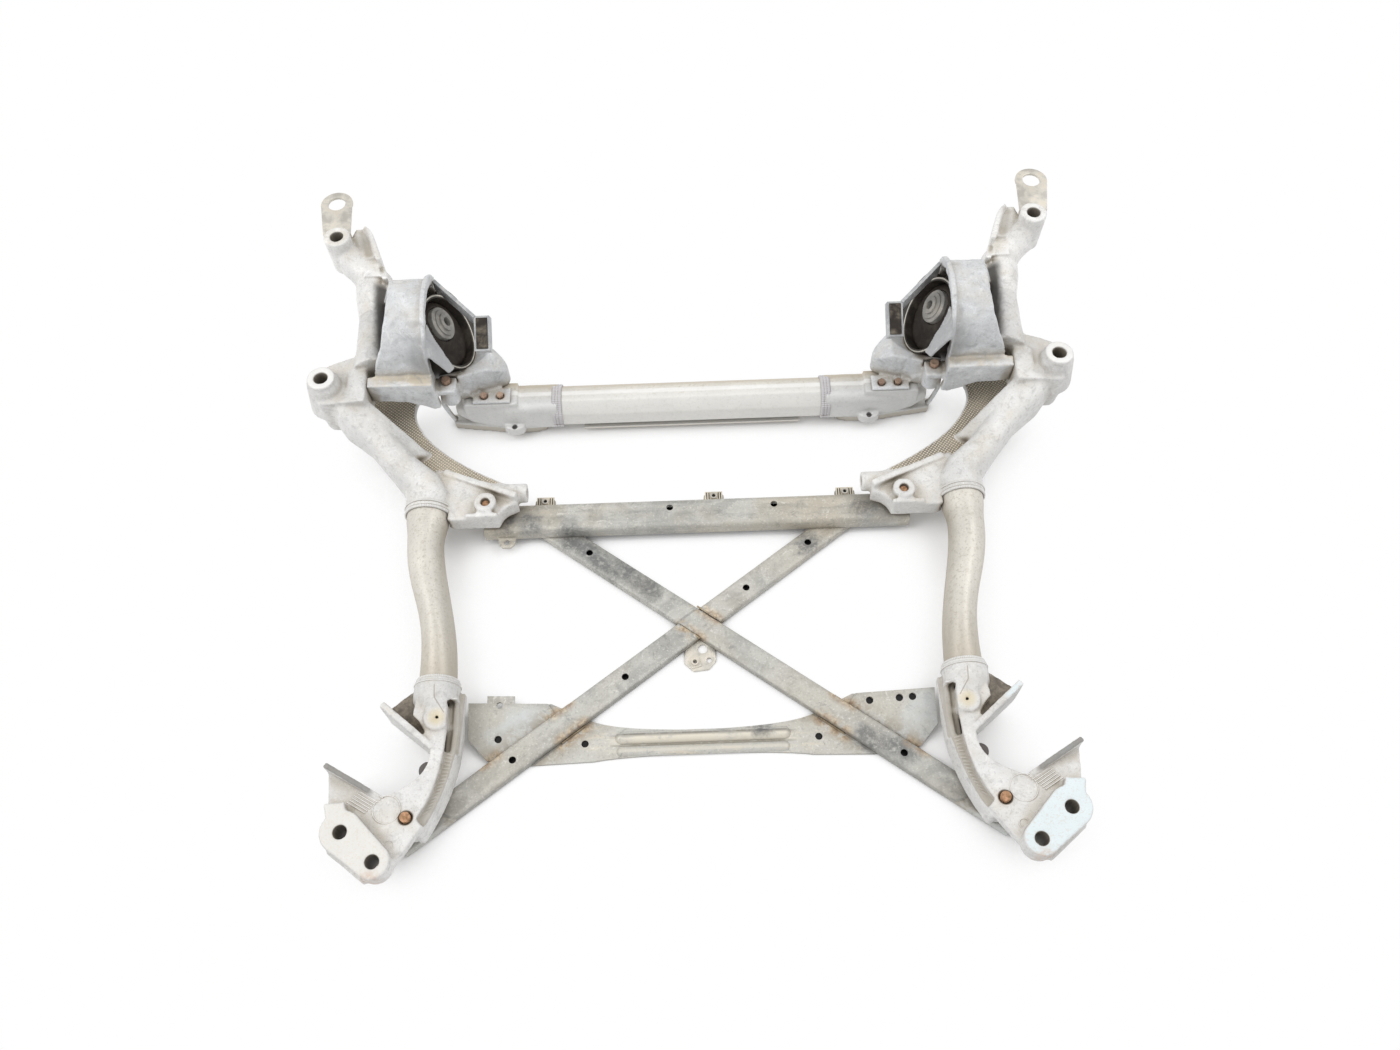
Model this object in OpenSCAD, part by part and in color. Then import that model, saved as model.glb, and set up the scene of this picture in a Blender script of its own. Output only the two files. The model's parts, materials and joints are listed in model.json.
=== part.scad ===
// Front axle subframe: cast aluminium corners joined by welded tubes, two engine mounts,
// and a bolted cross brace of folded steel. Millimetres, +Z up, +Y towards the vehicle's nose.

/* [Body bosses] */
// Half the distance between the left and right body bosses
boss_half_spacing = 428.5; // [420:0.5:440]
// Where the rear pair of bosses stands along the vehicle
rear_boss_y = 134; // [126:1:142]
// Where the front pair of bosses stands along the vehicle
front_boss_y = 332.5; // [326:0.5:340]
// Height of the rear bosses' top face
rear_boss_top = 140; // [134:1:150]
// Height of the front bosses' top face
front_boss_top = 165; // [158:1:172]
// Outside diameter of a body boss
boss_diameter = 33; // [30:0.5:36]
// Hole for a body bolt
body_bolt_hole = 16; // [13:0.5:18]

/* [Welded tubes] */
// Height of the side tubes' centre line
tube_height = 45; // [43:0.5:48]
// Outside radius of a side tube at its front end
side_front_radius = 25; // [23:0.5:26]
// Outside radius of a side tube at its rear end
side_rear_radius = 20.5; // [19.5:0.5:21.5]
// Half width of a side tube at its pressed waist
side_waist = 18.5; // [17:0.5:20]
// Wall of the side tubes
side_wall = 3.5; // [2.5:0.25:5]
// Outside radius of the horn tubes
horn_tube_radius = 18; // [16:0.5:18.5]
// Wall of the horn tubes
horn_wall = 3; // [2:0.25:4]
// Height of the horn tubes' centre line
horn_height = 112; // [110:0.5:114]
// Room between a tube and its cast socket, filled by the weld
weld_gap = 0.25; // [0.1:0.05:0.5]
// Wall of a cast socket
socket_wall = 4; // [3.5:0.25:5]

/* [Front cross tube] */
// Where the cross tube lies along the vehicle
cross_y = 162; // [160:0.5:164]
// Height of the cross tube's centre line
cross_height = 32; // [31:0.5:34]
// Half the distance across the cross tube's flats
cross_half = 23; // [21:0.5:24]
// Wall of the cross tube
cross_wall = 4; // [3:0.25:5]
// Where the cast tube ends start, from the middle
cross_socket_x = 166; // [160:1:172]
// How far the cross tube goes into its ends
cross_insert = 14; // [10:1:18]

/* [Castings] */
// Skin of the open castings
cast_wall = 6.5; // [5:0.25:8]
// Underside of the front castings' web
web_bottom = 44; // [42:0.5:46]
// Thickness of the front castings' web
web_thickness = 8; // [6:0.5:10]
// Height of the shoulders under the rear bosses
shoulder_top = 121; // [118:0.5:124]
// Underside of the rear castings
rear_bottom = 18; // [17:0.5:20]
// Height of the rear castings' top face
rear_top = 60; // [58:0.5:64]
// Height of the rear pads
pad_top = 72; // [68:0.5:76]
// Radius of the round ends of the rear pads
pad_radius = 17; // [16:0.5:18]
// Thickness of the rear pads
pad_thickness = 24; // [20:1:28]
// Holes in the rear pads
pad_hole = 13.5; // [11:0.5:15]

/* [Engine mounts] */
// Lean of the mount cups towards the middle
mount_lean = 60; // [58:0.5:62]
// Outside radius of the mount cup
cup_radius = 45; // [43:0.5:45.5]
// Depth of the mount cup
cup_depth = 46; // [44:1:48]
// Sheet of the mount cup
cup_sheet = 2.5; // [2:0.25:3]
// Radius of the core that takes the engine bracket
core_radius = 20; // [17:0.5:22]
// Thread bore of the core
core_bore = 10.5; // [8:0.5:12]
// Room between the cup and the housing arch
arch_room = 2.5; // [2.5:0.25:4]
// Wall of the housing arch
arch_wall = 7; // [6:0.5:8]
// Top of the foot bar of the housing
foot_top = 120; // [118:0.5:124]
// Height of the console at the cup
console_top = 102; // [98:1:106]
// Room between the cup and the console
seat_gap = 0.3; // [0.2:0.05:0.5]

/* [Cross brace] */
// Where the two arms cross, along the vehicle
brace_cross_y = -134; // [-138:1:-130]
// How far the rear brace bolts stand inside the body bosses
brace_bolt_inset = 128.5; // [125:0.5:132]
// Where the rear brace bolts stand along the vehicle
brace_bolt_y = -360; // [-364:0.5:-356]
// Width of a brace arm
arm_width = 29; // [26:0.5:32]
// Depth of a brace arm
arm_depth = 9; // [8:0.5:11]
// Sheet of the brace arms
arm_sheet = 2; // [1.5:0.25:3]
// Sheet of the two rails
rail_sheet = 3; // [2.5:0.25:3.5]
// Height of the front rail's top face
rail_height = 28; // [27:0.5:30]
// How far the front brace bolts stand inside the body bosses
front_bolt_inset = 185.5; // [183:0.5:188]
// Where the front brace bolts stand along the vehicle
front_bolt_y = 4; // [3:0.5:5]
// Holes for plastic clips and trays
clip_hole = 8; // [6:0.5:9]

/* [Fasteners] */
// Thread diameter of the rear brace bolts
rear_bolt = 12; // [10:1:14]
// Thread diameter of the front brace bolts
front_bolt = 10; // [8:1:12]
// Thread diameter of the console bolts
console_bolt = 8; // [6:1:9]
// Room around a bolt in its hole
bolt_room = 0.25; // [0.1:0.05:0.5]

/* [Hidden] */
$fn = 48;
loft_points = 24;
nothing = 0.01;
X = [1, 0, 0];
Y = [0, 1, 0];
Z = [0, 0, 1];

// Both sides are drawn about bosses at this place and moved out to the set spacing
drawn_boss_x = 428.5;
spread = boss_half_spacing - drawn_boss_x;
brace_bolt_x = boss_half_spacing - brace_bolt_inset;
front_bolt_x = boss_half_spacing - front_bolt_inset;
drawn_brace_bolt_x = brace_bolt_x - spread;
drawn_front_bolt_x = front_bolt_x - spread;

// Side tube: plan position of its two ends
side_front = [312, 26];
side_rear = [283, -240];
side_socket_front = side_front_radius + weld_gap;
side_socket_rear = side_rear_radius + weld_gap;
front_collar = side_socket_front + socket_wall - 1.75;
rear_collar = side_socket_rear + socket_wall;

// Horn tube: plan position of its two ends, and its turn from straight ahead
horn_rear = [drawn_boss_x - 52.5, rear_boss_y + 34];
horn_front = [drawn_boss_x - 38, front_boss_y - 40];
horn_step = horn_front - horn_rear;
horn_turn = atan2(horn_step[0], horn_step[1]);
horn_length = norm(horn_step);
horn_socket = horn_tube_radius + weld_gap;
neck_radius = horn_tube_radius + 8;

// Mount: middle of the cup's rim, and the housing arch's inner face and centre
mount = [286, 203, 132];
arch_face = 298;
arch_mid = [202, 145];
core_offset = [12, 4, 0];
cup_inside = cup_radius - cup_sheet;
cup_lip = 2;
rubber_clear = 0.2;
arch_inside = cup_radius + arch_room;
arch_outside = arch_inside + arch_wall;
foot_back = arch_mid[0] - arch_outside - 14;
foot_end = drawn_boss_x - 47.5;
console_floor = cross_height + cross_half + 4;
pocket_floor = console_floor + 5;
console_bolt_spots = [[234, 156], [254, 156]];
lug_spot = [mount[0] + 6, mount[1] - cup_radius - 5.5];

// Brace: heights and directions
arm_bottom = rail_sheet;
arm_top = arm_bottom + arm_depth;
brace_reach = norm([brace_bolt_x, brace_bolt_y - brace_cross_y]);
brace_turn = atan2(brace_cross_y - brace_bolt_y, brace_bolt_x);
arm_tail = 22;
rail_back = -17;
rail_front = 23;
rail_left = -front_bolt_x - 7;
rail_right = front_bolt_x + 10;
rail_stretch = brace_bolt_x / drawn_brace_bolt_x;
wing_rise = 15;
pad_spots = [[360.5, -375], [325.5, -405]];

// Shapes shared by several pieces

function bend(p, q, r, n = 10) = [
    for (i = [0:n])
        let (t = i / n)
        p * (1 - t) * (1 - t) + q * 2 * t * (1 - t) + r * t * t
];

function power(c, e) = sign(c) * pow(abs(c), e);

// Closed ring about c in the plane of u and v; e below 1 squares it off
function ring(c, u, v, a, b, e = 1) = [
    for (i = [0:loft_points - 1])
        let (t = 360 * i / loft_points)
        c + u * (a * power(cos(t), e)) + v * (b * power(sin(t), e))
];

// Station of a loft that runs in plan: [x, y, z, turn, half width, half height, squareness]
function station(s, d = 0, drop = 0) = ring(
    [s[0], s[1], s[2] - drop], [cos(s[3]), sin(s[3]), 0], Z, s[4] - d, s[5] - d + drop, s[6]);

module skin(rings) {
    n = len(rings[0]);
    last = len(rings) - 1;
    sides = [
        for (i = [0:last - 1])
            for (j = [0:n - 1])
                let (k = (j + 1) % n)
                each [
                    [i * n + j, i * n + k, (i + 1) * n + k],
                    [i * n + j, (i + 1) * n + k, (i + 1) * n + j]
                ]
    ];
    caps = [[for (j = [n - 1:-1:0]) j], [for (j = [0:n - 1]) last * n + j]];
    polyhedron([for (r = rings) each r], concat(sides, caps));
}

module right() {
    translate([spread, 0, 0]) children();
}

module left() {
    mirror(X) right() children();
}

// Plate of a plan outline between two heights
module plate(low, high) {
    translate([0, 0, low]) linear_extrude(high - low) children();
}

// Upright wall along a line in plan, with its own height at each end
module rib(p, q, width, low, high_p, high_q) {
    run = norm(q - p);
    translate([p[0], p[1], 0])
        rotate([0, 0, atan2(q[1] - p[1], q[0] - p[0])])
            rotate([90, 0, 0])
                translate([0, 0, -width / 2])
                    linear_extrude(width)
                        polygon([[0, low], [run, low], [run, high_q], [0, high_p]]);
}

// Flat bar on edge that climbs from its tip to its root
module slope(tip, root, width, low, high, root_low) {
    run = norm([root[0], root[1]] - tip);
    translate([tip[0], tip[1], 0])
        rotate([0, 0, atan2(root[1] - tip[1], root[0] - tip[0])])
            rotate([90, 0, 0])
                translate([0, 0, -width / 2])
                    linear_extrude(width)
                        polygon([[0, low], [run, root_low], [run, root[2]], [0, high]]);
}

// Cylinder from one height to another at a plan position
module post(at, radius, low, high) {
    translate([at[0], at[1], low]) cylinder(r = radius, h = high - low);
}

// Cylinder along the vehicle from one place to another
module run_y(x, z, radius, from, to) {
    translate([x, from, z]) rotate([-90, 0, 0]) cylinder(r = radius, h = to - from);
}

// Hexagon bolt standing on its head's inner face, thread upwards
module hex_bolt(thread, head_height, length) {
    translate([0, 0, -head_height]) cylinder(d = thread * 1.8, h = head_height, $fn = 6);
    translate([0, 0, -nothing]) cylinder(d = thread, h = length + nothing);
}

module along_horn(from) {
    translate([horn_rear[0], horn_rear[1], horn_height])
        rotate([0, 0, -horn_turn])
            rotate([-90, 0, 0])
                translate([0, 0, from])
                    children();
}

module in_mount() {
    translate(mount) rotate([0, -mount_lean, 0]) children();
}

// Side tube, hydroformed into a shallow S

side_stations = [
    [side_rear[0], side_rear[1], tube_height, 0, side_rear_radius, side_rear_radius, 1],
    [side_rear[0], -208, tube_height, 0, side_rear_radius, side_rear_radius, 1],
    [side_rear[0] + 0.5, -190, tube_height, 0, side_rear_radius - 1, side_rear_radius + 2, 1],
    [side_rear[0] + 2, -170, tube_height, 0, side_waist + 0.5, 25, 1],
    [288, -148, tube_height, 0, side_waist, 26, 1],
    [294, -122, tube_height, 0, side_waist + 0.5, 26.5, 1],
    [302, -95, tube_height, 0, side_waist + 2, 26.5, 1],
    [308.5, -68, tube_height, 0, side_waist + 2.5, 26, 1],
    [311.5, -46, tube_height, 0, side_waist + 2.2, 25.5, 1],
    [side_front[0] + 0.3, -31, tube_height, 0, side_waist + 2.2, 25, 1],
    [side_front[0] + 0.2, -21, tube_height, 0, side_front_radius - 2.5, side_front_radius, 1],
    [side_front[0], -12, tube_height, 0, side_front_radius - 0.4, side_front_radius, 1],
    [side_front[0], 0, tube_height, 0, side_front_radius, side_front_radius, 1],
    [side_front[0], side_front[1], tube_height, 0, side_front_radius, side_front_radius, 1]
];

module side_tube() {
    inner = [for (s = side_stations) station(s, side_wall)];
    count = len(side_stations);
    open_rear = [for (p = inner[0]) p - Y];
    open_front = [for (p = inner[count - 1]) p + Y];
    color("silver")
        difference() {
            skin([for (s = side_stations) station(s)]);
            skin(concat([open_rear], [for (i = [1:count - 2]) inner[i]], [open_front]));
        }
}

// Front casting: beam, web, shoulder, collar and brace lug

beam = [
    [side_front[0], 0, tube_height, 0, front_collar, front_collar, 1],
    [side_front[0], 22, tube_height, 0, front_collar, front_collar, 1],
    [322, 38, 48, -20, 24, 28, 0.85],
    [341, 54, 58, -40, 18.5, 24, 0.75],
    [372, 89, 70, -50, 17.5, 27, 0.65],
    [drawn_boss_x - 26.5, rear_boss_y - 22, 82, -48, 18, 33, 0.6],
    [drawn_boss_x - 12, rear_boss_y - 3, 91, -36, 18, 27, 0.55],
    [drawn_boss_x - 9, rear_boss_y + 22, 93, 0, 16, 25, 0.5]
];

module web_outline() {
    polygon(concat(
        bend([330, 176], [348, 146], [331, 121]),
        bend([331, 121], [312, 82], [226, 38]),
        [[208, 33], [206, 18], [290, 10], [320, 45], [350, 75], [385, 110], [405, 140], [400, 176]]
    ));
}

module lug_outline() {
    polygon(concat(
        [[306, 56], [244, 36], [222, 30], [210, 20], [206, 6]],
        bend([206, 6], [226, 2], [229, -15], 6),
        [[284, -14], [302, -4]]
    ));
}

module shoulder_outline() {
    b = [drawn_boss_x, rear_boss_y];
    polygon(concat(
        [[foot_end, rear_boss_y - 20], [foot_end, rear_boss_y + 26]],
        bend(horn_rear + [-22, 8], horn_rear + [0, 26], b + [2, 32], 6),
        bend(b + [19, 14], b + [24, -4], b + [4, -25], 6)
    ));
}

module front_casting() {
    boss = [drawn_boss_x, rear_boss_y];
    bolt = [drawn_front_bolt_x, front_bolt_y];
    color("silver")
        difference() {
            union() {
                difference() {
                    skin([for (s = beam) station(s)]);
                    skin([for (i = [3:7]) station(beam[i], cast_wall, i < 7 ? 26 : 0)]);
                }
                plate(web_bottom, web_bottom + web_thickness) web_outline();
                plate(78, shoulder_top) shoulder_outline();
                plate(34, 56) lug_outline();
                rib([296, 53], [207, 11], 8, 50, 58, 68);
                hull() {
                    rib([drawn_boss_x - 41, rear_boss_y - 9], [317, 78], 5, 46.5, 113, 56);
                    rib([drawn_boss_x - 30, rear_boss_y - 26], [346, 62], 8, 46.5, 113, 79);
                }
                rib([266, -10], [228, -12], 6, 40, 60, 64);
                post(boss, boss_diameter / 2, 56, rear_boss_top);
                translate([boss[0], boss[1], 90])
                    cylinder(r1 = boss_diameter / 2 + 9, r2 = boss_diameter / 2 + 2, h = rear_boss_top - 98);
                post(bolt, 13, rail_height, 66);
                translate([197, 25, 47]) rotate([0, 90, 0]) cylinder(r = 11.5, h = 42);
                along_horn(-8) cylinder(r1 = neck_radius, r2 = horn_socket + 2, h = 44);
            }
            post(boss, body_bolt_hole / 2, 40, rear_boss_top + 1);
            post(bolt, front_bolt / 2 + bolt_room, 0, 80);
            translate([190, 25, 47]) rotate([0, 90, 0]) cylinder(r = 5.5, h = 34);
            run_y(side_front[0], tube_height, side_socket_front, -20, side_front[1] + weld_gap);
            along_horn(-weld_gap) cylinder(r = horn_socket, h = 60);
        }
}

// Horn: socket, palm with its inner wing, sloping neck and front boss

module palm_outline() {
    b = [drawn_boss_x, front_boss_y];
    polygon(concat(
        [b + [-62, -48], b + [-50, -14]],
        bend(b + [-42, 8], b + [-33, 40], b + [-12.5, 40], 6),
        [b + [-12.5, 14], b + [12, -8], b + [-12, -32], b + [-26, -48]]
    ));
}

// The wing stands along the palm's inner edge
module wing_outline() {
    difference() {
        palm_outline();
        translate([6, -3.5]) palm_outline();
        translate([drawn_boss_x - 24, 0]) square([60, 600]);
    }
}

module front_horn() {
    boss = [drawn_boss_x, front_boss_y];
    mouth = horn_length - 20;
    turn = -40;
    color("silver")
        difference() {
            union() {
                along_horn(mouth) cylinder(r = horn_socket + socket_wall, h = 34);
                plate(114, 125) palm_outline();
                difference() {
                    plate(108, 146) wing_outline();
                    translate([300, boss[1] - 60, 146])
                        rotate([-25, 0, 0])
                            translate([0, -80, 0])
                                cube([120, 116, 40]);
                }
                skin([
                    ring([boss[0] - 38, boss[1] - 38, horn_height + 1], [cos(-8), sin(-8), 0], Z, 21, 21, 0.95),
                    ring([boss[0] - 26, boss[1] - 22, horn_height + 8], [cos(turn), sin(turn), 0], Z, 18, 20, 0.85),
                    ring([boss[0] - 11, boss[1] - 9, horn_height + 21], [cos(turn), sin(turn), 0], Z, 15, 19, 0.8),
                    ring([boss[0], boss[1], horn_height + 28], [cos(turn), sin(turn), 0], Z, 13, 17, 0.8)
                ]);
                post(boss, boss_diameter / 2 - 0.5, horn_height + 2, front_boss_top);
                translate([boss[0] - 9, boss[1] + 4, horn_height + 2]) cube([22, tab_seat - 4, 36]);
                plate(horn_height, horn_height + 14) arm_outline();
            }
            post(boss, body_bolt_hole / 2, 60, front_boss_top + 1);
            along_horn(0) cylinder(r = horn_socket, h = horn_length + weld_gap);
        }
}

// Arm that reaches from the horn to the housing's front leg
module arm_outline() {
    front = arch_mid[0] + arch_outside + seat_gap;
    polygon([[346, front], [386, front], [392, front + 34], [366, front + 36], [346, front + 14]]);
}

tab_seat = 17;

// Eye tab: folded steel strip with a ring for a lifting or cable fixing

tab_sheet = 3;
tab_ring = [drawn_boss_x + 12.5, front_boss_y + 69.5];
tab_bore = 11;
tab_rim = 20;

module eye_tab() {
    back = front_boss_y + tab_seat;
    base = drawn_boss_x + 2;
    height = front_boss_top - 14;
    color("lightgray")
        difference() {
            union() {
                plate(height - tab_sheet, height)
                    union() {
                        translate(tab_ring) circle(r = tab_rim);
                        polygon([
                            [base - 13, back], [base + 21, back],
                            tab_ring + [tab_rim - 0.6, -4], tab_ring + [-tab_rim + 0.6, -4]
                        ]);
                    }
                translate([base - 13, back, height - 34]) cube([34, tab_sheet, 34]);
            }
            post(tab_ring, tab_bore, 100, 200);
        }
}

module horn_tube() {
    color("silver")
        along_horn(0)
            difference() {
                cylinder(r = horn_tube_radius, h = horn_length);
                translate([0, 0, -1]) cylinder(r = horn_tube_radius - horn_wall, h = horn_length + 2);
            }
}

// Rear casting: C-shaped plate on edge walls, with ears, bolt pad and tube collar

module rear_outline() {
    polygon(concat(
        [[259, -234], [302, -234]],
        bend([303, -252], [292, -262], [288, -274], 4),
        bend([288, -274], [264, -318], [331, -339]),
        [[384, -308], [379, -350], [375, -392], [337, -422]],
        bend([314, -413], [244, -330], [258, -232], 12)
    ));
}

module ledge_outline() {
    polygon(concat(
        bend([262, -226], [243, -300], [284, -366], 10),
        [[292, -360], [276, -300], [275, -226]]
    ));
}

module ledge_lip() {
    difference() {
        ledge_outline();
        translate([4.5, 1.5]) ledge_outline();
        translate([266, -400]) square([60, 200]);
    }
}

module pad_outline() {
    a = pad_spots[0];
    b = pad_spots[1];
    hull() {
        translate(a + [0, 1]) circle(r = pad_radius + 4);
        translate(b) circle(r = pad_radius);
    }
    polygon([a + [-8, 6], a + [12, -4], [380.5, -346], [360, -345]]);
}

module rear_casting() {
    bolt = [drawn_brace_bolt_x, brace_bolt_y];
    color("silver")
        difference() {
            union() {
                difference() {
                    plate(rear_bottom, rear_top) rear_outline();
                    plate(rear_bottom - 1, rear_top - cast_wall) offset(delta = -cast_wall) rear_outline();
                    translate([286, -376, rear_bottom - 1])
                        rotate([0, 0, 12])
                            translate([-60, -100, 0])
                                cube([240, 100, pad_top - pad_thickness - rear_bottom + 1]);
                }
                plate(rear_bottom, 31) ledge_outline();
                plate(rear_bottom + 1, 42) ledge_lip();
                plate(rear_bottom, 28) polygon([[288, -226], [296, -262], [334, -246], [310, -222]]);
                skin([
                    station([277, -268, tube_height - 6, 0, 15, 18, 0.7]),
                    station([279, -252, tube_height - 4, 0, 20, 21, 0.8]),
                    station([side_rear[0], -232, tube_height, 0, rear_collar, rear_collar, 1]),
                    station([side_rear[0], -212, tube_height, 0, rear_collar, rear_collar, 1])
                ]);
                rib([280, -287], [334, -243], 7, rear_bottom + 3, 62, 74);
                rib([329, -338], [384, -307], 6, rear_bottom + 2, 62, 76);
                post([277, -256], 14, 30, 64);
                plate(pad_top - pad_thickness, pad_top) pad_outline();
                post(bolt, 13, arm_top, rear_top - 1);
            }
            run_y(side_rear[0], tube_height, side_socket_rear, side_rear[1] - weld_gap, -200);
            post([277, -256], 2.2, 50, 80);
            post(bolt, rear_bolt / 2 + bolt_room, 0, 80);
            for (p = pad_spots)
                post(p, pad_hole / 2, 0, 90);
        }
}

// Front cross tube and its cast ends

function eight_sided(half) = [
    for (i = [0:7])
        for (j = [-1:1])
            let (t = 45 * i + 22.5, c = half / cos(22.5), r = half * 0.28)
            [cos(t), sin(t)] * (c - r / cos(22.5)) + [cos(t + 15 * j), sin(t + 15 * j)] * r
];

// Extrusion across the vehicle of an outline given as [back to front, height]
module across(from, to) {
    translate([from, cross_y, cross_height])
        rotate([90, 0, 90])
            linear_extrude(to - from)
                children();
}

module front_cross_tube() {
    half = cross_socket_x + spread - weld_gap;
    lip = half - 30;
    color("silver")
        difference() {
            union() {
                across(-half, half) polygon(eight_sided(cross_half));
                across(-lip, lip) translate([-cross_half + 3, -cross_half - 0.5]) square([cross_half - 3, 3]);
            }
            across(-half - 1, half + 1) polygon(eight_sided(cross_half - cross_wall));
        }
}

end_stations = [
    [cross_socket_x, 0, cross_half + 0.4, cross_half + 0.4, 0.6],
    [cross_socket_x + 34, 0, cross_half + 0.4, cross_half + 0.2, 0.6],
    [cross_socket_x + 80, 2, cross_half - 1, cross_half - 1.5, 0.6],
    [cross_socket_x + 110, 4, cross_half - 5, cross_half - 6, 0.65],
    [cross_socket_x + 128, 6, cross_half - 12, cross_half - 12, 0.8]
];

module cross_tube_end() {
    floor = cross_height - cross_half - 6;
    color("silver")
        difference() {
            union() {
                skin([
                    for (s = end_stations)
                        ring([s[0], cross_y + s[1], cross_height], -Y, Z, s[2], s[3], s[4])
                ]);
                translate([214, cross_y - 16, cross_height])
                    cube([66, 34, console_floor - cross_height]);
                plate(floor - 3, floor + 9)
                    polygon(concat(
                        [[180, cross_y], [184, cross_y - 14]],
                        bend([196, cross_y - 17], [222, cross_y - 20], [250, cross_y - 14], 6),
                        [[300, cross_y - 7], [305, cross_y + 6], [284, cross_y + 10]]
                    ));
                post([221, cross_y - 7], 11, floor - 3, floor + 11);
                across(cross_socket_x - cross_insert, cross_socket_x + 6)
                    polygon(eight_sided(cross_half - cross_wall - weld_gap));
            }
            post([221, cross_y - 7], clip_hole / 2, -5, floor + 14);
            post([300, cross_y + 1], 3, -5, 30);
            for (p = console_bolt_spots)
                post(p, console_bolt / 2 + bolt_room, cross_height + 2, 80);
        }
}

// Mount console: boat-shaped seat under the cup, open below, with a bolted flange

module console_outline() {
    back = cross_y - 8;
    polygon(concat(
        [[303, back - 2], [292, back]],
        bend([252, cross_y + 3], [217, cross_y + 11], [224, cross_y + 26], 8),
        bend([224, cross_y + 26], [231, cross_y + 41], [263, mount[1] + 9], 8),
        [[303, mount[1] + 23]]
    ));
}

module console() {
    lug_top = foot_top - 28;
    color("lightslategray")
        difference() {
            union() {
                difference() {
                    intersection() {
                        plate(console_floor, console_top) console_outline();
                        translate([218, 0, 80])
                            rotate([0, -40, 0])
                                translate([-100, 0, -200])
                                    cube([400, 400, 200]);
                    }
                    plate(console_floor - 1, console_floor + 14) offset(delta = -cast_wall) console_outline();
                }
                translate([222, cross_y - 15, console_floor]) cube([46, 22, 5]);
                post(lug_spot, 11, console_floor + 6, lug_top);
                translate([lug_spot[0] - 9, lug_spot[1], console_floor + 6])
                    cube([18, 20, lug_top - console_floor - 6]);
                rib([270, cross_y - 2], [301, cross_y - 8], 5, console_floor, 70, 90);
            }
            in_mount() {
                translate([0, 0, -cup_depth - 30]) cylinder(r = cup_radius + seat_gap, h = 140);
                translate([0, 0, -cup_sheet - seat_gap]) cylinder(r = cup_radius + cup_lip + seat_gap, h = 80);
            }
            for (p = console_bolt_spots) {
                translate([p[0] - 7.5, p[1] - 6.6, pocket_floor]) cube([15, 14.6, 30]);
                post(p, console_bolt / 2 + bolt_room, 30, 90);
            }
            post(lug_spot, console_bolt / 2 + bolt_room, console_floor + 4, 130);
            translate([lug_spot[0] - 12, foot_back, lug_top]) cube([24, lug_spot[1] + 9 - foot_back, 40]);
        }
}

// Mount housing: arched strap over the cup, with a foot bar to the front casting

// Front face of the arch, which leans back towards its foot
function arch_front(height) = arch_face + (215 - height) * 8 / 123;

module housing_side() {
    polygon([
        [arch_front(215), 215], [arch_face + 40, 215], [arch_face + 57, 165], [arch_face + 66, 145],
        [arch_face + 76, foot_top], [arch_face + 78, 92], [arch_front(92), 92]
    ]);
}

module arch_outline(radius) {
    translate(arch_mid) circle(r = radius);
    translate([arch_mid[0] - radius, 80]) square([2 * radius, arch_mid[1] - 80]);
}

module across_arch(from, to) {
    translate([from, 0, 0]) rotate([90, 0, 90]) linear_extrude(to - from) children();
}

// Band of the arch between two places, cut to the housing's side view
module arch_band(from, to, radius, inside = 0) {
    intersection() {
        difference() {
            across_arch(from, to) arch_outline(radius);
            if (inside > 0)
                across_arch(from - 1, to + 1) arch_outline(inside);
        }
        translate([0, 400, 0]) rotate([90, 0, 0]) linear_extrude(400) housing_side();
    }
}

module housing() {
    wall = arch_face + 30;
    color("lightslategray")
        difference() {
            union() {
                arch_band(arch_face, arch_face + 80, arch_outside, arch_inside);
                arch_band(arch_face, arch_face + 7, arch_outside + 5, arch_inside);
                difference() {
                    arch_band(wall, wall + 6, arch_outside - 1);
                    in_mount() translate([0, 0, -150]) cylinder(r = cup_radius + seat_gap, h = 300);
                }
                translate([arch_face + 6, foot_back, foot_top - 28])
                    cube([foot_end - arch_face - 6, arch_mid[0] - arch_inside - foot_back, 28]);
                translate([0, foot_back + 8, 0])
                    rotate([90, 0, 0])
                        linear_extrude(8)
                            polygon([
                                [arch_face + 6, foot_top], [foot_end, foot_top], [foot_end, foot_top - 30],
                                [arch_face + 46, foot_top - 32], [arch_face + 12, 72], [arch_face + 4, 74]
                            ]);
                translate([lug_spot[0] - 11, foot_back + 4, foot_top - 28]) cube([30, 22, 8]);
            }
            post(lug_spot, console_bolt / 2 + bolt_room, 40, 140);
            along_horn(-20) cylinder(r = neck_radius + 1, h = 160);
        }
}

// Mount cup, rubber and core, all turned about the leaning axis

module mount_cup() {
    color("dimgray")
        in_mount()
            rotate_extrude()
                polygon([
                    [0, -cup_depth], [cup_radius, -cup_depth], [cup_radius, -cup_sheet],
                    [cup_radius + cup_lip, -cup_sheet], [cup_radius + cup_lip, 0], [cup_inside, 0],
                    [cup_inside, -cup_depth + cup_sheet], [0, -cup_depth + cup_sheet]
                ]);
}

// Rubber: eccentric cone from the cup's wall up to the core, which stands high when unloaded
module mount_rubber() {
    edge = cup_inside - rubber_clear;
    down = [0, 0, 1];
    color("black")
        in_mount()
            difference() {
                skin([
                    ring([0, 0, -42], X, -Y, edge - 5, edge - 5),
                    ring([0, 0, -36], X, -Y, edge, edge),
                    ring([0, 0, -12], X, -Y, edge, edge),
                    ring([0, 0, -8], X, -Y, edge - 3, edge - 3),
                    ring(core_offset * 0.6 - down * 9, X, -Y, core_radius + 12, core_radius + 12),
                    ring(core_offset - down * 3, X, -Y, core_radius + 3, core_radius + 3)
                ]);
                translate(core_offset - down * 50) cylinder(r = core_radius + rubber_clear, h = 60);
            }
}

module mount_core() {
    color("gray")
        in_mount()
            translate(core_offset)
                rotate_extrude()
                    polygon([
                        [core_bore / 2, -38], [core_radius, -38], [core_radius, 1], [core_radius - 4, 2],
                        [core_radius - 4, 4], [core_radius - 9, 4], [core_radius - 9, 7], [core_bore / 2, 7]
                    ]);
}

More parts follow.
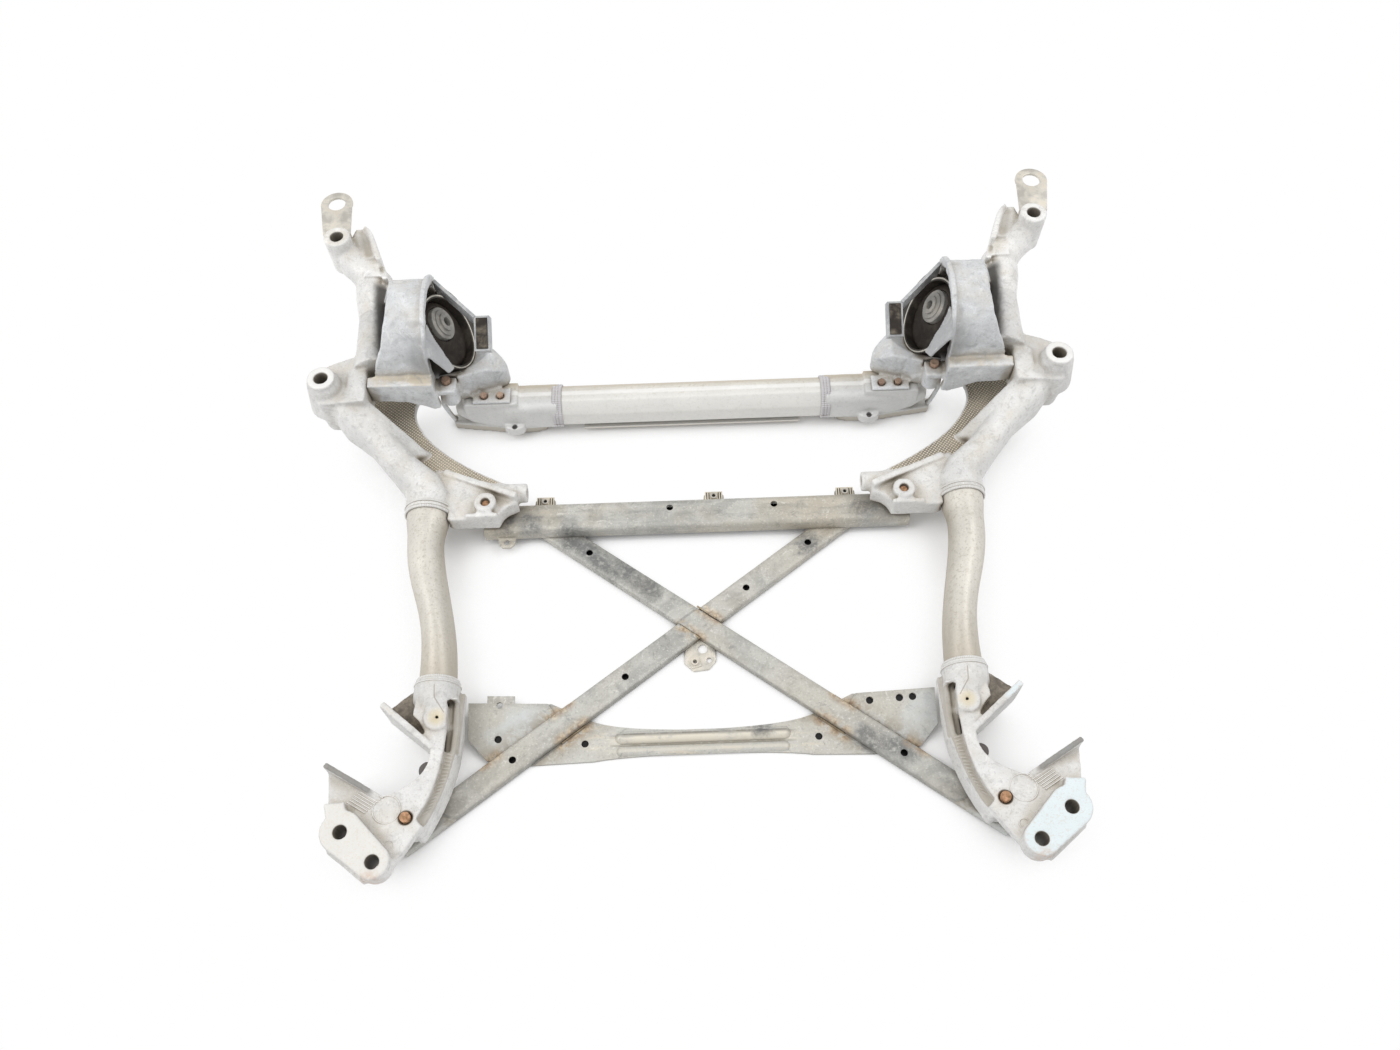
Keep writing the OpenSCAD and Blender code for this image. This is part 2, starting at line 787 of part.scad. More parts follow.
// Travel stop: steel strap from the housing to a rubber buffer in a folded frame

buffer_mid = [242, 184, 148];
buffer_size = [13, 36, 16];
buffer_lean = 30;
strap_sheet = 4;
strap_width = 15;
frame_edge = 2.5;
strap_end = 178;
strap_root = [arch_front(strap_end) - seat_gap - strap_sheet * 0.38, arch_mid[0] + 41, strap_end];

module in_buffer() {
    translate(buffer_mid) rotate([buffer_lean, 0, 0]) children();
}

module stop_strap() {
    outer = buffer_size + [2, 2, 0] * frame_edge;
    reach = buffer_size[1] / 2 - 2;
    tip = [buffer_mid[0] + outer[0] / 2 - 1, buffer_mid[1] + reach * cos(buffer_lean)];
    low = buffer_mid[2] + reach * sin(buffer_lean) - strap_width / 2;
    color("gray")
        difference() {
            union() {
                slope(tip, strap_root, strap_sheet, low, low + strap_width, strap_root[2] - strap_width);
                in_buffer() translate([0, 0, -frame_edge]) cube(outer, center = true);
            }
            in_buffer()
                translate([0, 0, 20])
                    cube(buffer_size + [2, 2, 0] * rubber_clear + [0, 0, 40], center = true);
        }
}

module stop_buffer() {
    color("black")
        in_buffer() cube(buffer_size, center = true);
}

// Cross brace: two folded rails, crossing arms, a tab and sheet clip nuts

// Outline of the rail's section, or of its inside when drawn in by the sheet
module rail_profile(inset) {
    low = arm_top - (inset > 0 ? 1 : 0);
    top = rail_height - inset;
    polygon(concat(
        [[rail_back + inset, low], [rail_back + 1 + inset, top - 6]],
        bend([rail_back + 1 + inset, top - 6], [rail_back + 1.5 + inset, top], [rail_back + 9, top], 4),
        bend([rail_front - 10, top], [rail_front - 1.5 - inset, top], [rail_front - 1 - inset, top - 6], 4),
        [[rail_front - inset, low]]
    ));
}

module brace_front_rail() {
    tabs = [-180, 23, 181];
    color("darkgray")
        difference() {
            union() {
                across_arch(rail_left, rail_right)
                    difference() {
                        rail_profile(0);
                        rail_profile(rail_sheet);
                    }
                for (x = tabs)
                    plate(arm_top, arm_top + rail_sheet)
                        translate([x, rail_front])
                            polygon([[-13, -2], [-12, 9], [-8, 14], [8, 14], [12, 9], [13, -2]]);
                plate(arm_top, arm_top + rail_sheet)
                    translate([rail_left + 26, rail_back])
                        polygon([[-11, 2], [-9, -9], [-5, -13], [5, -13], [9, -9], [11, 2]]);
            }
            for (x = [-front_bolt_x, front_bolt_x])
                post([x, front_bolt_y], front_bolt / 2 + bolt_room, 0, rail_height + 1);
            for (x = [-30, 94])
                post([x, 10], clip_hole / 2, rail_height - 8, rail_height + 1);
            for (x = tabs)
                post([x, rail_front + 7], 3.5, 0, arm_top + 5);
            post([rail_left + 26, rail_back - 6], 3.5, 0, arm_top + 5);
        }
}

// Plan of the rear rail's right half
module rear_rail_half() {
    scale([rail_stretch, 1]) polygon(concat(
        bend([0, -258], [88, -257], [118, -246], 6),
        [[166, -223], [256, -223], [255, -262], [234, -285], [184, -292], [118, -290]],
        bend([118, -290], [94, -285.5], [0, -284], 6)
    ));
}

// In line with the right rear arm: along it, and across it towards the front
module by_arm() {
    translate([0, brace_cross_y, 0]) rotate([0, 0, -brace_turn]) children();
}

module plan_by_arm() {
    rotate(brace_turn) translate([0, -brace_cross_y]) children();
}

// The part of the right half that lies in front of the arm, folded up along its edge
module rear_wing(tab) {
    fold = arm_width / 2 + 1.5;
    by_arm()
        translate([0, fold, 0.15])
            rotate([wing_rise, 0, 0])
                linear_extrude(rail_sheet)
                    translate([0, -fold])
                        intersection() {
                            plan_by_arm() {
                                rear_rail_half();
                                translate([206 * rail_stretch, -224]) square([30, tab]);
                            }
                            translate([189.6, fold]) square([200, 200]);
                        }
}

bead_half = 88;
front_bead = [-265, 5];
rear_bead = [-280, 3.5];

// Pressed bead along the rail: half round with round ends
module bead(b, grow, low) {
    radius = b[1] + grow;
    cap = [for (t = [0:15:90]) [radius * cos(t), bead_half + radius * sin(t)]];
    intersection() {
        translate([0, b[0], 0])
            rotate([0, 90, 0])
                rotate_extrude()
                    polygon(concat(
                        cap,
                        [for (i = [len(cap) - 1:-1:0]) [cap[i][0], -cap[i][1]]]
                    ));
        translate([-150, -300, low]) cube([300, 50, 40]);
    }
}

module rear_rail_flat() {
    fold = arm_width / 2 + 2;
    difference() {
        rear_rail_half();
        translate([0, brace_cross_y]) rotate(-brace_turn) translate([190, fold]) square([200, 200]);
    }
}

module brace_rear_rail() {
    color("darkgray")
        difference() {
            union() {
                plate(0, rail_sheet) {
                    rear_rail_flat();
                    mirror([1, 0]) rear_rail_flat();
                }
                for (b = [front_bead, rear_bead])
                    bead(b, rail_sheet, rail_sheet - nothing);
                rear_wing(0.5);
                mirror(X) rear_wing(9);
            }
            for (b = [front_bead, rear_bead])
                bead(b, 0, -1);
            for (p = [[-128, -270], [125.5, -270.5]])
                post(p, clip_hole / 2, -1, 5);
            for (p = [[-222, -263], [184, -233], [216, -233], [230, -233]])
                post([p[0] * rail_stretch, p[1]], clip_hole / 2, -1, 40);
            post([-221 * rail_stretch, -227], 3.5, -1, 40);
        }
}

// Folded channel, open below
module arm_profile() {
    h = arm_width / 2;
    r = 4;
    outer = concat(
        [[-h, 0]],
        bend([-h, arm_depth - r], [-h, arm_depth], [-h + r, arm_depth], 4),
        bend([h - r, arm_depth], [h, arm_depth], [h, arm_depth - r], 4),
        [[h, 0]]
    );
    difference() {
        polygon(outer);
        translate([-h + arm_sheet, -1]) square([arm_width - 2 * arm_sheet, arm_depth - arm_sheet + 1]);
    }
}

// Arm that runs from one reach to another along a direction through the crossing
module arm(turn, from, to) {
    translate([0, brace_cross_y, arm_bottom])
        rotate([0, 0, turn])
            translate([from, 0, 0])
                rotate([90, 0, 90])
                    linear_extrude(to - from)
                        arm_profile();
}

module arm_holes(turn, spots, radius) {
    translate([0, brace_cross_y, 0])
        rotate([0, 0, turn])
            for (s = spots)
                post([s, 0], radius, arm_bottom - 1, arm_top + 1);
}

// What lies behind the middle of the front rail, under which the arms end
module behind_rail() {
    translate([-400, -600, -10]) cube([800, 600 + rail_back + 20, 60]);
}

module brace_long_arm() {
    color("darkgray")
        difference() {
            intersection() {
                arm(-brace_turn, -230, brace_reach + arm_tail);
                behind_rail();
            }
            arm_holes(-brace_turn, [-158, brace_reach - 108], clip_hole / 2);
            arm_holes(-brace_turn, [brace_reach], rear_bolt / 2 + bolt_room);
        }
}

// Room on each side of the long arm for the weld of the two short arms
module long_arm_room() {
    gap = arm_width / 2 + weld_gap;
    translate([0, brace_cross_y, -10])
        rotate([0, 0, -brace_turn])
            translate([-500, -gap, 0])
                cube([1000, 2 * gap, 60]);
}

module brace_front_half_arm() {
    color("darkgray")
        difference() {
            intersection() {
                arm(brace_turn, 0, 230);
                behind_rail();
            }
            long_arm_room();
            arm_holes(brace_turn, [70, 165], clip_hole / 2);
        }
}

module brace_rear_half_arm() {
    color("darkgray")
        difference() {
            arm(brace_turn, -brace_reach - arm_tail, 0);
            long_arm_room();
            arm_holes(brace_turn, [-105, -256], clip_hole / 2);
            arm_holes(brace_turn, [-brace_reach], rear_bolt / 2 + bolt_room);
        }
}

module brace_centre_tab() {
    color("lightgray")
        difference() {
            plate(0, rail_sheet)
                polygon([
                    [-14, brace_cross_y], [14, brace_cross_y], [18, -178], [10, -188], [-8, -190], [-18, -180]
                ]);
            post([3, -163], 5.5, -1, 5);
            post([10, -177], 3, -1, 5);
            post([-6, -180], 3.5, -1, 5);
        }
}

// Spring clip with a thread plate, slid over the edge of a tab
module clip_nut(at, turn) {
    translate(at)
        rotate([0, 0, turn])
            difference() {
                union() {
                    translate([-6, -6, 0]) cube([12, 12, 1.2]);
                    cylinder(d = 8, h = 4.5);
                }
                translate([0, 0, -1]) cylinder(d = 5, h = 8);
            }
}

module brace_clip_nuts() {
    color("gray") {
        for (x = [-180, 23, 181])
            clip_nut([x, rail_front + 7, arm_top + rail_sheet], 0);
        clip_nut([-6, -180, rail_sheet], 15);
    }
}

module brace_rear_bolts() {
    color("sienna")
        for (x = [-brace_bolt_x, brace_bolt_x])
            translate([x, brace_bolt_y, arm_top - arm_sheet])
                hex_bolt(rear_bolt, 7, rear_top + 5 - arm_top + arm_sheet);
}

module brace_front_bolts() {
    color("sienna")
        for (x = [-front_bolt_x, front_bolt_x])
            translate([x, front_bolt_y, rail_height - rail_sheet])
                hex_bolt(front_bolt, 7, 26);
}

module console_bolts() {
    color("sienna")
        for (m = [0, 1])
            mirror([m, 0, 0]) translate([spread, 0, 0]) {
                for (p = console_bolt_spots)
                    translate([p[0], p[1], pocket_floor]) mirror(Z) hex_bolt(console_bolt, 5, 30);
                translate([lug_spot[0], lug_spot[1], foot_top - 20]) mirror(Z) hex_bolt(console_bolt, 6, 34);
            }
}

front_cross_tube();
left_cross_tube_end();
right_cross_tube_end();
left_front_casting();
right_front_casting();
left_front_horn();
right_front_horn();
left_horn_tube();
right_horn_tube();
left_eye_tab();
right_eye_tab();
left_side_tube();
right_side_tube();
left_rear_casting();
right_rear_casting();
left_mount_console();
right_mount_console();
left_mount_housing();
right_mount_housing();
left_mount_cup();
right_mount_cup();
left_mount_rubber();
right_mount_rubber();
left_mount_core();
right_mount_core();
left_stop_strap();
right_stop_strap();
left_stop_buffer();
right_stop_buffer();
brace_front_rail();
brace_rear_rail();
brace_long_arm();
brace_front_half_arm();
brace_rear_half_arm();
brace_centre_tab();
brace_clip_nuts();
brace_rear_bolts();
brace_front_bolts();
console_bolts();

// Left and right hand pieces

module right_cross_tube_end() { right() cross_tube_end(); }
module left_cross_tube_end() { left() cross_tube_end(); }
module right_front_casting() { right() front_casting(); }
module left_front_casting() { left() front_casting(); }
module right_front_horn() { right() front_horn(); }
module left_front_horn() { left() front_horn(); }
module right_horn_tube() { right() horn_tube(); }
module left_horn_tube() { left() horn_tube(); }
module right_eye_tab() { right() eye_tab(); }
module left_eye_tab() { left() eye_tab(); }
module right_side_tube() { right() side_tube(); }
module left_side_tube() { left() side_tube(); }
module right_rear_casting() { right() rear_casting(); }
module left_rear_casting() { left() rear_casting(); }
module right_mount_console() { right() console(); }
module left_mount_console() { left() console(); }
module right_mount_housing() { right() housing(); }
module left_mount_housing() { left() housing(); }
module right_mount_cup() { right() mount_cup(); }
module left_mount_cup() { left() mount_cup(); }
module right_mount_rubber() { right() mount_rubber(); }
module left_mount_rubber() { left() mount_rubber(); }
module right_mount_core() { right() mount_core(); }
module left_mount_core() { left() mount_core(); }
module right_stop_strap() { right() stop_strap(); }
module left_stop_strap() { left() stop_strap(); }
module right_stop_buffer() { right() stop_buffer(); }
module left_stop_buffer() { left() stop_buffer(); }
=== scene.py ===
import json
import math
from functools import reduce

import bpy
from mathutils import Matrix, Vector

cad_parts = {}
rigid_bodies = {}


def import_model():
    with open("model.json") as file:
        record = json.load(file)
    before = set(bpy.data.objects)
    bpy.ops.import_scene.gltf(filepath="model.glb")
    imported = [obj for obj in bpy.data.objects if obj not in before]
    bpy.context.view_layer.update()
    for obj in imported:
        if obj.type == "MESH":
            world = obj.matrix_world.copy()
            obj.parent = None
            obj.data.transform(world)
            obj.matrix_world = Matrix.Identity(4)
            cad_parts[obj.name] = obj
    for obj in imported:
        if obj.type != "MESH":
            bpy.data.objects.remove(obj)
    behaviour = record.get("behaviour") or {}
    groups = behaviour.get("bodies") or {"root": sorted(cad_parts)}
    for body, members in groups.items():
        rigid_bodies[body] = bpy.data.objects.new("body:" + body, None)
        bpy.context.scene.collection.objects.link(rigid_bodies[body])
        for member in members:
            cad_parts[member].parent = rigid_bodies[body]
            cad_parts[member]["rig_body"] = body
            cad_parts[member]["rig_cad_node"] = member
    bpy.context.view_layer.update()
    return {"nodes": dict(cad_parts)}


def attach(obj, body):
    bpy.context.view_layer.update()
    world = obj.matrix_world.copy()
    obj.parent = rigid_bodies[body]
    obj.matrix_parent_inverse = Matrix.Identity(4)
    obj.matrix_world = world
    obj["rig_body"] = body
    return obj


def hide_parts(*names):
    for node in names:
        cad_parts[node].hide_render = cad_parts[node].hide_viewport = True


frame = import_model()
NODES = frame["nodes"]
SIDES = (("left", -1), ("right", 1))
MM = 0.001

# Places shared by pieces and finishes, on the right side, in millimetres
REAR_BOSS = (428.5, 134)
FRONT_BOSS = (428.5, 332.5)
FRONT_BOLT = (243, 4)
REAR_BOLT = (300, -360)
LUG_BORE = (300, 163)
LOBE_BORE = (221, 135.5)
LOBE_BORE_RADIUS = 3.1
PAD_SPOTS = ((360.5, -375), (325.5, -405))
RIVET_SPOT = (277, -256)
SIDE_TUBE_HEIGHT = 45
CROSS_AXIS = (162, 32)
MOUNT_FACE = (286, 203, 132)
MOUNT_LEAN = math.radians(60.0)
STRAP_LEAN = math.radians(30.0)
# Colour of the painted shade on the inner flanks behind the engine mounts
FLANK_SHADE = (0.035, 0.03, 0.025)

bl_info = {
    "name": "Front axle subframe",
    "version": (1, 0, 0),
    "blender": (4, 5, 0),
    "location": "3D View > Sidebar > Subframe",
    "description": "Dresses the packed subframe: soft cast corners, formed tubes, welds, fasteners and finishes",
    "category": "Object",
}


# Settings a user would change


class SubframeSizes(bpy.types.PropertyGroup):
    """Sizes of the cast skin, the welds and the sheet edges"""

    cast_grain: bpy.props.FloatProperty(
        name="Cast skin", description="Edge length of the cast skin's mesh", default=0.0017, unit="LENGTH")
    cast_rounding: bpy.props.IntProperty(
        name="Cast rounding", description="How often the cast edges are softened", default=7, min=0)
    weld_size: bpy.props.FloatProperty(
        name="Weld bead", description="Width of a weld bead on the tubes", default=0.0055, unit="LENGTH")
    brace_weld: bpy.props.FloatProperty(
        name="Brace weld", description="Width of a weld bead on the brace", default=0.0026, unit="LENGTH")
    sheet_edge: bpy.props.FloatProperty(
        name="Sheet edge", description="Rounding of the folded sheet's edges", default=0.0006, unit="LENGTH")


class SubframeColours(bpy.types.PropertyGroup):
    """Colours of the finishes"""

    casting: bpy.props.FloatVectorProperty(
        name="Casting", description="Clean cast aluminium", default=(0.685, 0.68, 0.668), subtype="COLOR")
    mount_casting: bpy.props.FloatVectorProperty(
        name="Mount casting", description="Cooler cast aluminium of the mounts", default=(0.655, 0.67, 0.685),
        subtype="COLOR")
    tube: bpy.props.FloatVectorProperty(
        name="Tube", description="Formed aluminium tube", default=(0.67, 0.64, 0.58), subtype="COLOR")
    zinc: bpy.props.FloatVectorProperty(
        name="Zinc", description="Zinc plated brace", default=(0.5, 0.495, 0.46), subtype="COLOR")
    dust: bpy.props.FloatVectorProperty(
        name="Dust", description="Dry road dust", default=(0.56, 0.49, 0.38), subtype="COLOR")
    # Dark dirt, and also the colour of painted shade in corners
    grime_and_shade: bpy.props.FloatVectorProperty(
        name="Grime", description="Dark dirt in corners", default=(0.15, 0.125, 0.095), subtype="COLOR")
    rust: bpy.props.FloatVectorProperty(
        name="Rust", description="Rust on bolts and welds", default=(0.33, 0.18, 0.08), subtype="COLOR")
    rubber: bpy.props.FloatVectorProperty(
        name="Rubber", description="Mount rubber", default=(0.024, 0.018, 0.014), subtype="COLOR")


class SubframeStage(bpy.types.PropertyGroup):
    """Floor, light and camera"""

    floor: bpy.props.FloatVectorProperty(
        name="Floor", description="Colour of the floor", default=(0.9, 0.9, 0.9), subtype="COLOR")
    sky: bpy.props.FloatProperty(name="Sky", description="Strength of the even light", default=0.68)
    key: bpy.props.FloatProperty(name="Key", description="Power of the large soft lamp", default=24.0, unit="POWER")
    lens: bpy.props.FloatProperty(name="Lens", description="Focal length of the camera", default=28.75, unit="CAMERA")


# Shader maths


class Wire:
    """A shader value; arithmetic on it adds Math nodes"""

    def __init__(self, finish, socket):
        self.finish = finish
        self.socket = socket

    def _math(self, operation, a, b=0.0):
        return self.finish.node("ShaderNodeMath", {"operation": operation}, {0: a, 1: b})

    def __add__(self, other):
        return self._math("ADD", self, other)

    __radd__ = __add__

    def __sub__(self, other):
        return self._math("SUBTRACT", self, other)

    def __rsub__(self, other):
        return self._math("SUBTRACT", other, self)

    def __mul__(self, other):
        return self._math("MULTIPLY", self, other)

    __rmul__ = __mul__

    def __pow__(self, other):
        return self._math("POWER", self, other)

    def larger(self, other):
        return self._math("MAXIMUM", self, other)

    def smaller(self, other):
        return self._math("MINIMUM", self, other)

    def absolute(self):
        return self._math("ABSOLUTE", self)

    def step(self, low, high):
        """0 below low and 1 above high, smooth between"""
        return self.finish.node(
            "ShaderNodeMapRange", {"interpolation_type": "SMOOTHSTEP"}, {0: self, 1: low, 2: high})

    def fade(self, low, high):
        """1 below low and 0 above high, smooth between"""
        return 1.0 - self.step(low, high)


class Finish:
    """A material under construction"""

    def __init__(self, name):
        self.material = bpy.data.materials.new(name)
        self.material.use_nodes = True
        self.tree = self.material.node_tree
        self.tree.nodes.clear()
        self.colour = self.height = None
        self.place = self.node("ShaderNodeTexCoord", outlet="Object")
        self.x, self.along, self.level = self.split(self.place)
        self.across = self.x.absolute()
        outward, _, self.up = self.split(self.node("ShaderNodeNewGeometry", outlet="Normal"))
        self.inward = 0.0 - outward * self.node("ShaderNodeMath", {"operation": "SIGN"}, {0: self.x})
        self.bend = self.node("ShaderNodeNewGeometry", outlet="Pointiness")

    def node(self, kind, settings=None, inputs=None, outlet=0):
        made = self.tree.nodes.new(kind)
        for key, value in (settings or {}).items():
            setattr(made, key, value)
        for key, value in (inputs or {}).items():
            if isinstance(value, Wire):
                self.tree.links.new(value.socket, made.inputs[key])
            else:
                made.inputs[key].default_value = value
        return Wire(self, made.outputs[outlet])

    def split(self, vector):
        """The X, Y and Z parts of a vector"""
        return [self.node("ShaderNodeSeparateXYZ", None, {0: vector}, axis) for axis in "XYZ"]

    def noise(self, scale, detail=4.0, rough=0.55, warp=0.0, place=None):
        return self.node("ShaderNodeTexNoise", None, {
            "Vector": place or self.place, "Scale": scale, "Detail": detail, "Roughness": rough,
            "Distortion": warp})

    def bands(self, scale, turn):
        """Parallel bands in plan, turned by an angle in degrees"""
        turned = self.node("ShaderNodeMapping", None, {
            "Vector": self.place, "Rotation": (0.0, 0.0, math.radians(turn))})
        return self.node("ShaderNodeTexWave", {"wave_type": "BANDS", "bands_direction": "X"}, {
            "Vector": turned, "Scale": scale, "Distortion": 0.0, "Detail": 1.0})

    def stretched(self, size):
        return self.node("ShaderNodeMapping", None, {"Vector": self.place, "Scale": size})

    def near(self, spot, inner, outer):
        """1 close to a spot, 0 beyond"""
        away = self.node("ShaderNodeVectorMath", {"operation": "DISTANCE"}, {0: self.place, 1: spot}, "Value")
        return away.fade(inner, outer)

    def bore(self, spots, radius, soft=0.6):
        """1 within a radius of upright axes on both sides, by plan places in millimetres"""
        marks = []
        for x, y in spots:
            dx, dy = self.across - x * MM, self.along - y * MM
            marks.append(((dx * dx + dy * dy) ** 0.5).fade(radius * MM, (radius + soft) * MM))
        return reduce(Wire.larger, marks)

    def line(self, a, b, both=True):
        """Distance in plan from the line between two places in millimetres"""
        (ax, ay), (bx, by) = ((v * MM for v in spot) for spot in (a, b))
        dx, dy = bx - ax, by - ay
        px, py = (self.across if both else self.x) - ax, self.along - ay
        t = ((px * dx + py * dy) * (1.0 / (dx * dx + dy * dy))).larger(0.0).smaller(1.0)
        qx, qy = px - t * dx, py - t * dy
        return (qx * qx + qy * qy) ** 0.5

    def crevice(self, reach):
        """0 on open faces, more in narrow corners"""
        return 1.0 - self.node("ShaderNodeAmbientOcclusion", {"samples": 6}, {"Distance": reach}, "AO")

    def mix(self, factor, a, b):
        a, b = (tone if isinstance(tone, Wire) else (*tone[:3], 1.0) for tone in (a, b))
        return self.node("ShaderNodeMix", {"data_type": "RGBA"}, {0: factor, 6: a, 7: b}, 2)

    def lay(self, factor, tone):
        """Lays a tone over the colour so far"""
        self.colour = self.mix(factor, self.colour, tone)

    def close(self, rough, height, depth, metallic, specular=0.4):
        """Ends the material with the colour so far and a bumped surface"""
        normal = self.node("ShaderNodeBump", None, {"Strength": 1.0, "Distance": depth, "Height": height})
        return self.end(self.node("ShaderNodeBsdfPrincipled", None, {
            "Base Color": self.colour, "Roughness": rough, "Metallic": metallic, "Specular IOR Level": specular,
            "Normal": normal}))

    def end(self, surface):
        out = self.tree.nodes.new("ShaderNodeOutputMaterial")
        self.tree.links.new(surface.socket, out.inputs["Surface"])
        return self.material


# Finishes; colours are linear


def shade(colour, amount):
    return tuple(min(1.0, c * amount) for c in colour[:3])


def tint(name, amount=1.0):
    """One of the panel's colours, lighter or darker"""
    return shade(getattr(bpy.context.scene.subframe_colours, name), amount)


def dust(amount=1.0):
    return tint("dust", amount)


def hidden_flank(f):
    """Deep shade on the inner flank behind an engine mount"""
    behind = f.level.step(0.088, 0.098) * f.along.step(0.158, 0.172) * f.along.fade(0.275, 0.29)
    f.lay(f.inward.step(0.0, 0.5) * behind * 0.92, FLANK_SHADE)


def front_marks(f, base, cloud, fine):
    """Knurled web with dirt in its grooves, bright boss rings, and painted shade on the inner flank behind the mount
    """
    web = f.level.step(0.0495, 0.0512) * f.level.fade(0.0533, 0.0548) * f.up.step(0.9, 0.98)
    knurl = f.bands(100.0, 38.0) * f.bands(100.0, -52.0)
    dirt = f.mix(f.noise(16.0, 4.0, 0.6).step(0.3, 0.7), dust(0.3), dust(0.72))
    f.lay(web * 0.9, f.mix(knurl.step(0.12, 0.45), dirt, dust(1.55)))
    f.height = f.height + web * knurl * 4.0
    f.lay(f.level.step(0.1375, 0.139) * f.up.step(0.7, 0.95) * 0.7, shade(base, 1.18))
    hidden_flank(f)


def rear_marks(f, base, cloud, fine):
    """Machined pad with painted light on the right one, dark fin, dust and painted shade on the ledge and in the
    pocket, rust, a hairline beside the collar, and painted shade in the rivet's hole
    """
    level = f.level
    pad = level.step(0.0695, 0.0708) * level.fade(0.0728, 0.0738) * f.up.step(0.75, 0.95)
    dots = f.noise(520.0, 3.0, 0.7).step(0.5, 0.66)
    # Machined pad tone with painted light: the right pad is laid lighter and bluer than the left
    machined_and_lit = f.mix(f.x.step(-0.05, 0.05), (0.7, 0.685, 0.65), (0.7, 0.78, 0.81))
    f.lay(pad * 0.85, f.mix(dots * 0.45, machined_and_lit, dust(1.05)))
    f.lay(f.bore([(327, -423)], 3.0, 12.0) * fine.step(0.35, 0.6) * 0.6, (0.56, 0.4, 0.3))
    fin = f.line((331, -338), (384, -308)).fade(0.0034, 0.0046) * level.step(0.0625, 0.0645)
    f.lay(fin * f.up.step(0.3, 0.8) * 0.8, (0.19, 0.18, 0.165))
    f.lay(f.bore([RIVET_SPOT], 4.0, 9.0) * 0.55, (0.66, 0.55, 0.32))
    # Dust and painted shade on the low ledge in the groove
    f.lay(level.fade(0.0525, 0.054) * f.up.step(0.2, 0.6) * (cloud * 0.4 + 0.4), dust(0.54))
    # Dirt and painted shade in the pocket
    pocket = f.bore([(311, -248)], 21.0, 8.0) * level.fade(0.052, 0.058) * f.up.step(0.3, 0.7)
    f.lay(pocket * 0.85, f.mix(fine.step(0.35, 0.65), (0.06, 0.045, 0.03), (0.2, 0.165, 0.12)))
    bush = f.bore([(287, -309)], 9.0, 1.5) * level.step(0.037, 0.039) * level.fade(0.055, 0.057)
    f.lay(bush * 0.9, (0.045, 0.035, 0.03))
    crack = f.line((281, -222), (280, -236)).smaller(f.line((280, -236), (270, -251)))
    f.lay(crack.fade(0.0002, 0.0009) * f.up.step(0.1, 0.4) * 0.6, tint("grime_and_shade", 1.6))
    # Painted shade in the rivet's small hole
    f.lay(f.bore([RIVET_SPOT], 1.3, 0.5), (0.03, 0.025, 0.02))


def horn_marks(f, base, cloud, fine):
    """Painted shade on the inner flank behind the mount, and painted shade with dust along the palm"""
    hidden_flank(f)
    # Painted shade with dust along the palm's inner edge
    palm = f.line((393, 322), (404, 358)).fade(0.002, 0.009) * f.up.step(0.5, 0.9)
    f.lay(palm * (cloud * 0.6 + 0.3), dust(0.5))


def mount_marks(f, base, cloud, fine):
    """Dusty foot bar, shade under the arch, grey and white stains"""
    foot = f.level.step(0.112, 0.118) * f.level.fade(0.123, 0.134) * f.up.step(0.1, 0.6)
    f.lay((foot * cloud.step(0.35, 0.7)).smaller(0.7), (0.62, 0.54, 0.41))
    stain = f.noise(55.0, 5.0, 0.7, 0.6)
    for x in (-0.296, 0.296):
        f.lay(f.near((x, 0.158, 0.149), 0.024, 0.04) * 0.6, (0.33, 0.335, 0.34))
    f.lay(stain.fade(0.3, 0.46) * 0.5, (0.3, 0.315, 0.33))
    f.lay(stain.step(0.56, 0.7) * 0.5, (0.8, 0.8, 0.79))


CAST_MARKS = {"front": front_marks, "rear": rear_marks, "horn": horn_marks, "mount": mount_marks}


